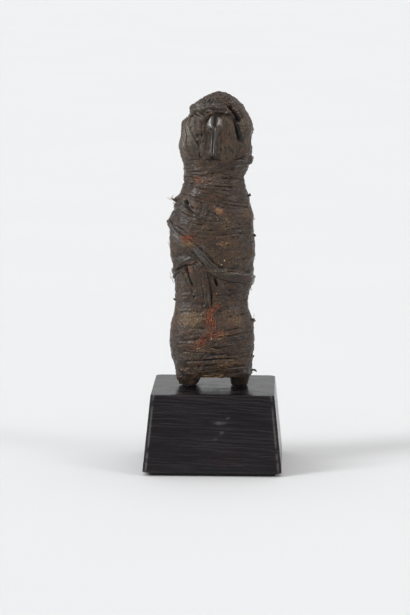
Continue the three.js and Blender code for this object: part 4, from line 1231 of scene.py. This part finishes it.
def legMesh(leg):
    around, rows = 72, 26
    turn = np.linspace(0, 2 * math.pi, around, endpoint=False)
    level = np.concatenate([[0, 0.02, 0.06], np.linspace(0, 1, rows)[2:]])
    shrink = np.concatenate([[0, 0.9, 0.97], np.ones(rows - 2)])
    points = []
    for t, inward in zip(level, shrink):
        grow = smooth(t, 0, 0.9)
        halfX, halfY = (mix(leg["soleHalf"][i], leg["topHalf"][i], grow) * inward for i in (0, 1))
        midX, midY = (mix(leg["sole"][i], leg["top"][i], grow) for i in (0, 1))
        uneven = 1 + 0.03 * softNoise(turn / (2 * math.pi) * 9, turn * 0 + t * 4, leg["seed"], 9)
        x = midX + halfX * uneven * np.sign(np.cos(turn)) * np.abs(np.cos(turn)) ** 0.8
        y = midY + halfY * uneven * np.sign(np.sin(turn)) * np.abs(np.sin(turn)) ** 0.8
        toe = leg["toe"] * smooth(-y, -2, 8) * (1 - t) ** 2
        points.append(np.stack([x, y, standHeight + 0.3 + toe + t * legHeight], axis=1))
    return np.vstack(points), gridFaces(len(level), around)


def makeCarvedFigure():
    face = np.arange(128, 164, 0.3)
    rows = np.concatenate([np.arange(8, 128, 4), face, np.linspace(164.5, 170.4, 8)])
    angle, z = np.meshgrid(-180 + fullTurn * np.arange(wood["columns"]) / wood["columns"], rows)
    depth = mix(wood["trunkDepth"], wood["headDepth"], smooth(z, 118, 134))
    sunk = np.minimum(sample(swell, angle, arcOf(z)), 0)
    uneven = wood["grain"] * softNoise(angle / 8, z / 3, 21, 45)
    off = sample(faceMap, angle, arcOf(z)) - depth + sunk + uneven
    polish = np.clip(sample(polishedMap, angle, arcOf(z)), 0, wood["mostPolish"])
    points, faces = [bodyPoint(angle, z, off).reshape(-1, 3)], [gridFaces(len(rows), wood["columns"])]
    paintedShades, polishes = [-sample(paintedShadeMap, angle, arcOf(z)).ravel()], [polish.ravel()]
    for leg in legs:
        legPoints, legFaces = legMesh(leg)
        faces.append(legFaces + sum(len(p) for p in points))
        points.append(legPoints)
        # painted shade on the stub legs under the hem
        paintedShades.append(np.full(len(legPoints), -leg["dark"]))
        polishes.append(np.full(len(legPoints), wood["legPolish"]))
    looks = {"shadeAndSheen": np.concatenate(paintedShades), "polish": np.concatenate(polishes)}
    points, faces = np.vstack(points), np.vstack(faces)
    piece = makeMesh("carvedFigure", points, faces, finishes["wood"], looks, "figure")
    repair(piece, closing=True)


makeCarvedFigure()
print("carved figure made")

# Plinth: a square truncated pyramid with cut corners, softened edges and a recessed foot
plinth = {"bottom": 80, "top": 71, "foot": 2, "footInset": 3.6, "chamfer": 2, "soft": 0.45, "rows": 60}
# Scuffs on its front: place, reach across and up, strength and seed
scuffs = [
    (4.2, 30.7, 2.6, 0.7, 0.8, 61), (5.6, 25.4, 0.9, 0.6, 0.6, 62), (1.4, 21.6, 0.6, 0.8, 0.5, 63),
    (9, 33.7, 0.7, 0.4, 0.5, 64),
]


def plinthOutline(half, cut):  # a square with cut corners, each corner softened by extra points
    side = np.concatenate([[-1], np.linspace(-0.985, 0.985, 39), [1]]) * (half - cut)
    corner = [(half - cut * 0.45, -half + cut * 0.5), (half - cut * 0.05, -half + cut * 0.95)]
    run = np.vstack([np.stack([side, np.full_like(side, -half)], axis=1), corner])
    return np.vstack([run @ np.array([[c, s], [-s, c]]) for c, s in ((1, 0), (0, 1), (-1, 0), (0, -1))])


def makePlinth():
    low, high, foot, soft = plinth["bottom"] / 2, plinth["top"] / 2, plinth["foot"], plinth["soft"]
    inset = low - plinth["footInset"]
    levels = [(inset, 0), (inset, foot), (low - soft, foot), (low - 0.1, foot + soft * 0.4)]
    rises = np.linspace(0.02, 0.985, plinth["rows"])
    levels += [(mix(low, high, t), mix(foot, standHeight, t)) for t in rises]
    levels += [(high - 0.08, standHeight - soft * 0.55), (high - 0.25, standHeight - soft * 0.15)]
    levels += [((high - soft) * inward, standHeight) for inward in (1, *np.linspace(0.9, 0.06, 14))]
    rings = []
    for half, z in levels:
        outline = plinthOutline(half, plinth["chamfer"] * min(1, half / 30))
        rings.append(np.column_stack([outline, np.full(len(outline), z)]))
    x, y, z = np.vstack(rings).T
    scuffsAndEdgeHighlight = np.zeros(len(x))
    for markX, markZ, reachX, reachZ, strength, seed in scuffs:
        near = np.exp(-(((x - markX) / reachX) ** 2) - ((z - markZ) / reachZ) ** 2)
        ragged = 0.6 + 0.6 * softNoise(x * 1.4, z * 1.9, seed)
        scuffsAndEdgeHighlight = np.maximum(scuffsAndEdgeHighlight, strength * near * ragged * (y < 0))
    # Painted highlight, partly wear: a broken light line down the vertical edges beside the cut corners
    edge = mix(low, high, np.clip((z - foot) / (standHeight - foot), 0, 1)) - plinth["chamfer"]
    wornEdgeHighlight = 0.5 * bell(np.abs(x) - edge, 0.3) * smooth(softNoise(z / 3, x * 0, 67), -0.9, 0.1)
    scuffsAndEdgeHighlight = np.clip(np.maximum(scuffsAndEdgeHighlight, wornEdgeHighlight * (np.abs(y) > edge - 0.5)), 0, 1)
    points, faces, looks = np.vstack(rings), gridFaces(len(rings), len(rings[0])), {"scuffsAndEdgeHighlight": scuffsAndEdgeHighlight}
    piece = makeMesh("plinthBlock", points, faces, finishes["ebony"], looks, "plinth")
    repair(piece, closing=True)
    piece.data.polygons.foreach_set("use_smooth", np.ones(len(piece.data.polygons), dtype=bool))
    piece.data.set_sharp_from_angle(angle=math.radians(30))


makePlinth()
print("plinth made")

# Floor, lights and camera
floorReach = 14.0
floorMesh = bpy.data.meshes.new("floor")
floorCorners = [(x * floorReach, y * floorReach, 0) for x, y in ((-1, -1), (1, -1), (1, 1), (-1, 1))]
floorMesh.from_pydata(floorCorners, [], [(0, 1, 2, 3)])
floor = bpy.data.objects.new("floor", floorMesh)
bpy.context.scene.collection.objects.link(floor)
floorFinish = Finish("paleFloor")
floorGrain = floorFinish.noise(floorFinish.place(), 300, 2)
floorTone = floorFinish.blend((0.535, 0.537, 0.54, 1), (0.555, 0.557, 0.56, 1), floorGrain)
floor.data.materials.append(floorFinish.surface(floorTone, 0.9, floorFinish.bump(floorGrain, 0.01, 0.1)))
floor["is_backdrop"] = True

# The room: its brightness above, low behind, low in front and straight overhead, and two tall
# softboxes, whose places are in degrees around the figure from its front and above the floor
room = {"above": 0.88, "horizon": 0.5, "front": 0.1, "overhead": 2, "overheadFrom": 58, "edge": 3}
softboxes = {
    "left": {"around": -62, "wide": 16, "bottom": 1, "top": 62, "strength": 11.8},
    "right": {"around": 60, "wide": 12, "bottom": 1, "top": 50, "strength": 7.4},
}
roomColours = {"plain": (0.98, 0.99, 1, 1), "right": (1, 0.92, 0.88, 1)}


def lightRoom():
    world = bpy.data.worlds.new("studio")
    sky = Finish(world)
    direction = sky.node("ShaderNodeTexCoord", output="Generated")
    east, north, level = (sky.axis(direction, name) for name in "XYZ")
    behind = sky.between(north, -0.6, 0.7)
    low = sky.between(0.5 - level, 0, 0.5)
    glow = room["above"] + low * (room["front"] - room["above"] + behind * (room["horizon"] - room["front"]))
    around = sky.node("ShaderNodeMath", {"operation": "ARCTAN2"}, {0: east, 1: 0 - north}) * (180 / math.pi)
    above = sky.node("ShaderNodeMath", {"operation": "ARCSINE"}, {0: level}) * (180 / math.pi)
    overhead = sky.between(above - room["overheadFrom"], -8, 8) * sky.between(north, -0.1, 0.3)
    glow = glow + room["overhead"] * overhead
    masks = {}
    for name, box in softboxes.items():
        sideways = sky.node("ShaderNodeMath", {"operation": "ABSOLUTE"}, {0: around - box["around"]})
        edges = [box["wide"] / 2 - sideways, above - box["bottom"], box["top"] - above]
        masks[name] = math.prod(sky.between(edge, -room["edge"], room["edge"]) for edge in edges)
        glow = glow + masks[name] * box["strength"]
    tone = sky.blend(roomColours["plain"], roomColours["right"], masks["right"])
    backdrop = sky.node("ShaderNodeBackground", inputs={"Color": tone, "Strength": glow})
    sky.node("ShaderNodeOutputWorld", inputs={"Surface": backdrop})
    bpy.context.scene.world = world


lightRoom()
print("room lit")

# The camera, placed from the plinth's edges in the photograph, whose frame is 410 by 615
photo = {"wide": 410, "tall": 615}
shot = {
    "distance": 1600, "above": 7.9, "around": 1.57, "roll": 0.2, "aim": 102, "focalPixels": 2749.6,
    "aimPixel": (214.3, 291), "sensor": 36,
}
cameraData = bpy.data.cameras.new("camera")
cameraData.sensor_width = shot["sensor"]
cameraData.lens = shot["focalPixels"] * shot["sensor"] / photo["tall"]
cameraData.clip_end = 60
camera = bpy.data.objects.new("camera", cameraData)
a, e = math.radians(shot["around"]), math.radians(shot["above"])
back = Vector((math.sin(a) * math.cos(e), -math.cos(a) * math.cos(e), math.sin(e)))
camera.location = (Vector((0, 0, shot["aim"])) + back * shot["distance"]) / metre
camera.rotation_mode = "QUATERNION"
turned = (-back).to_track_quat("-Z", "Y").to_matrix()
panned = Matrix.Rotation(math.atan((shot["aimPixel"][0] - photo["wide"] / 2) / shot["focalPixels"]), 3, "Y")
tipped = Matrix.Rotation(-math.atan((photo["tall"] / 2 - shot["aimPixel"][1]) / shot["focalPixels"]), 3, "X")
rolled = Matrix.Rotation(math.radians(shot["roll"]), 3, "Z")
camera.rotation_quaternion = (turned @ panned @ tipped @ rolled).to_quaternion()
bpy.context.scene.collection.objects.link(camera)
bpy.context.scene.camera = camera
bpy.context.scene.view_settings.view_transform = "Standard"
print("stage set")

triangles = sum(len(p.vertices) - 2 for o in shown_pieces() if o.type == "MESH" for p in o.data.polygons)
print("triangles in all:", triangles)
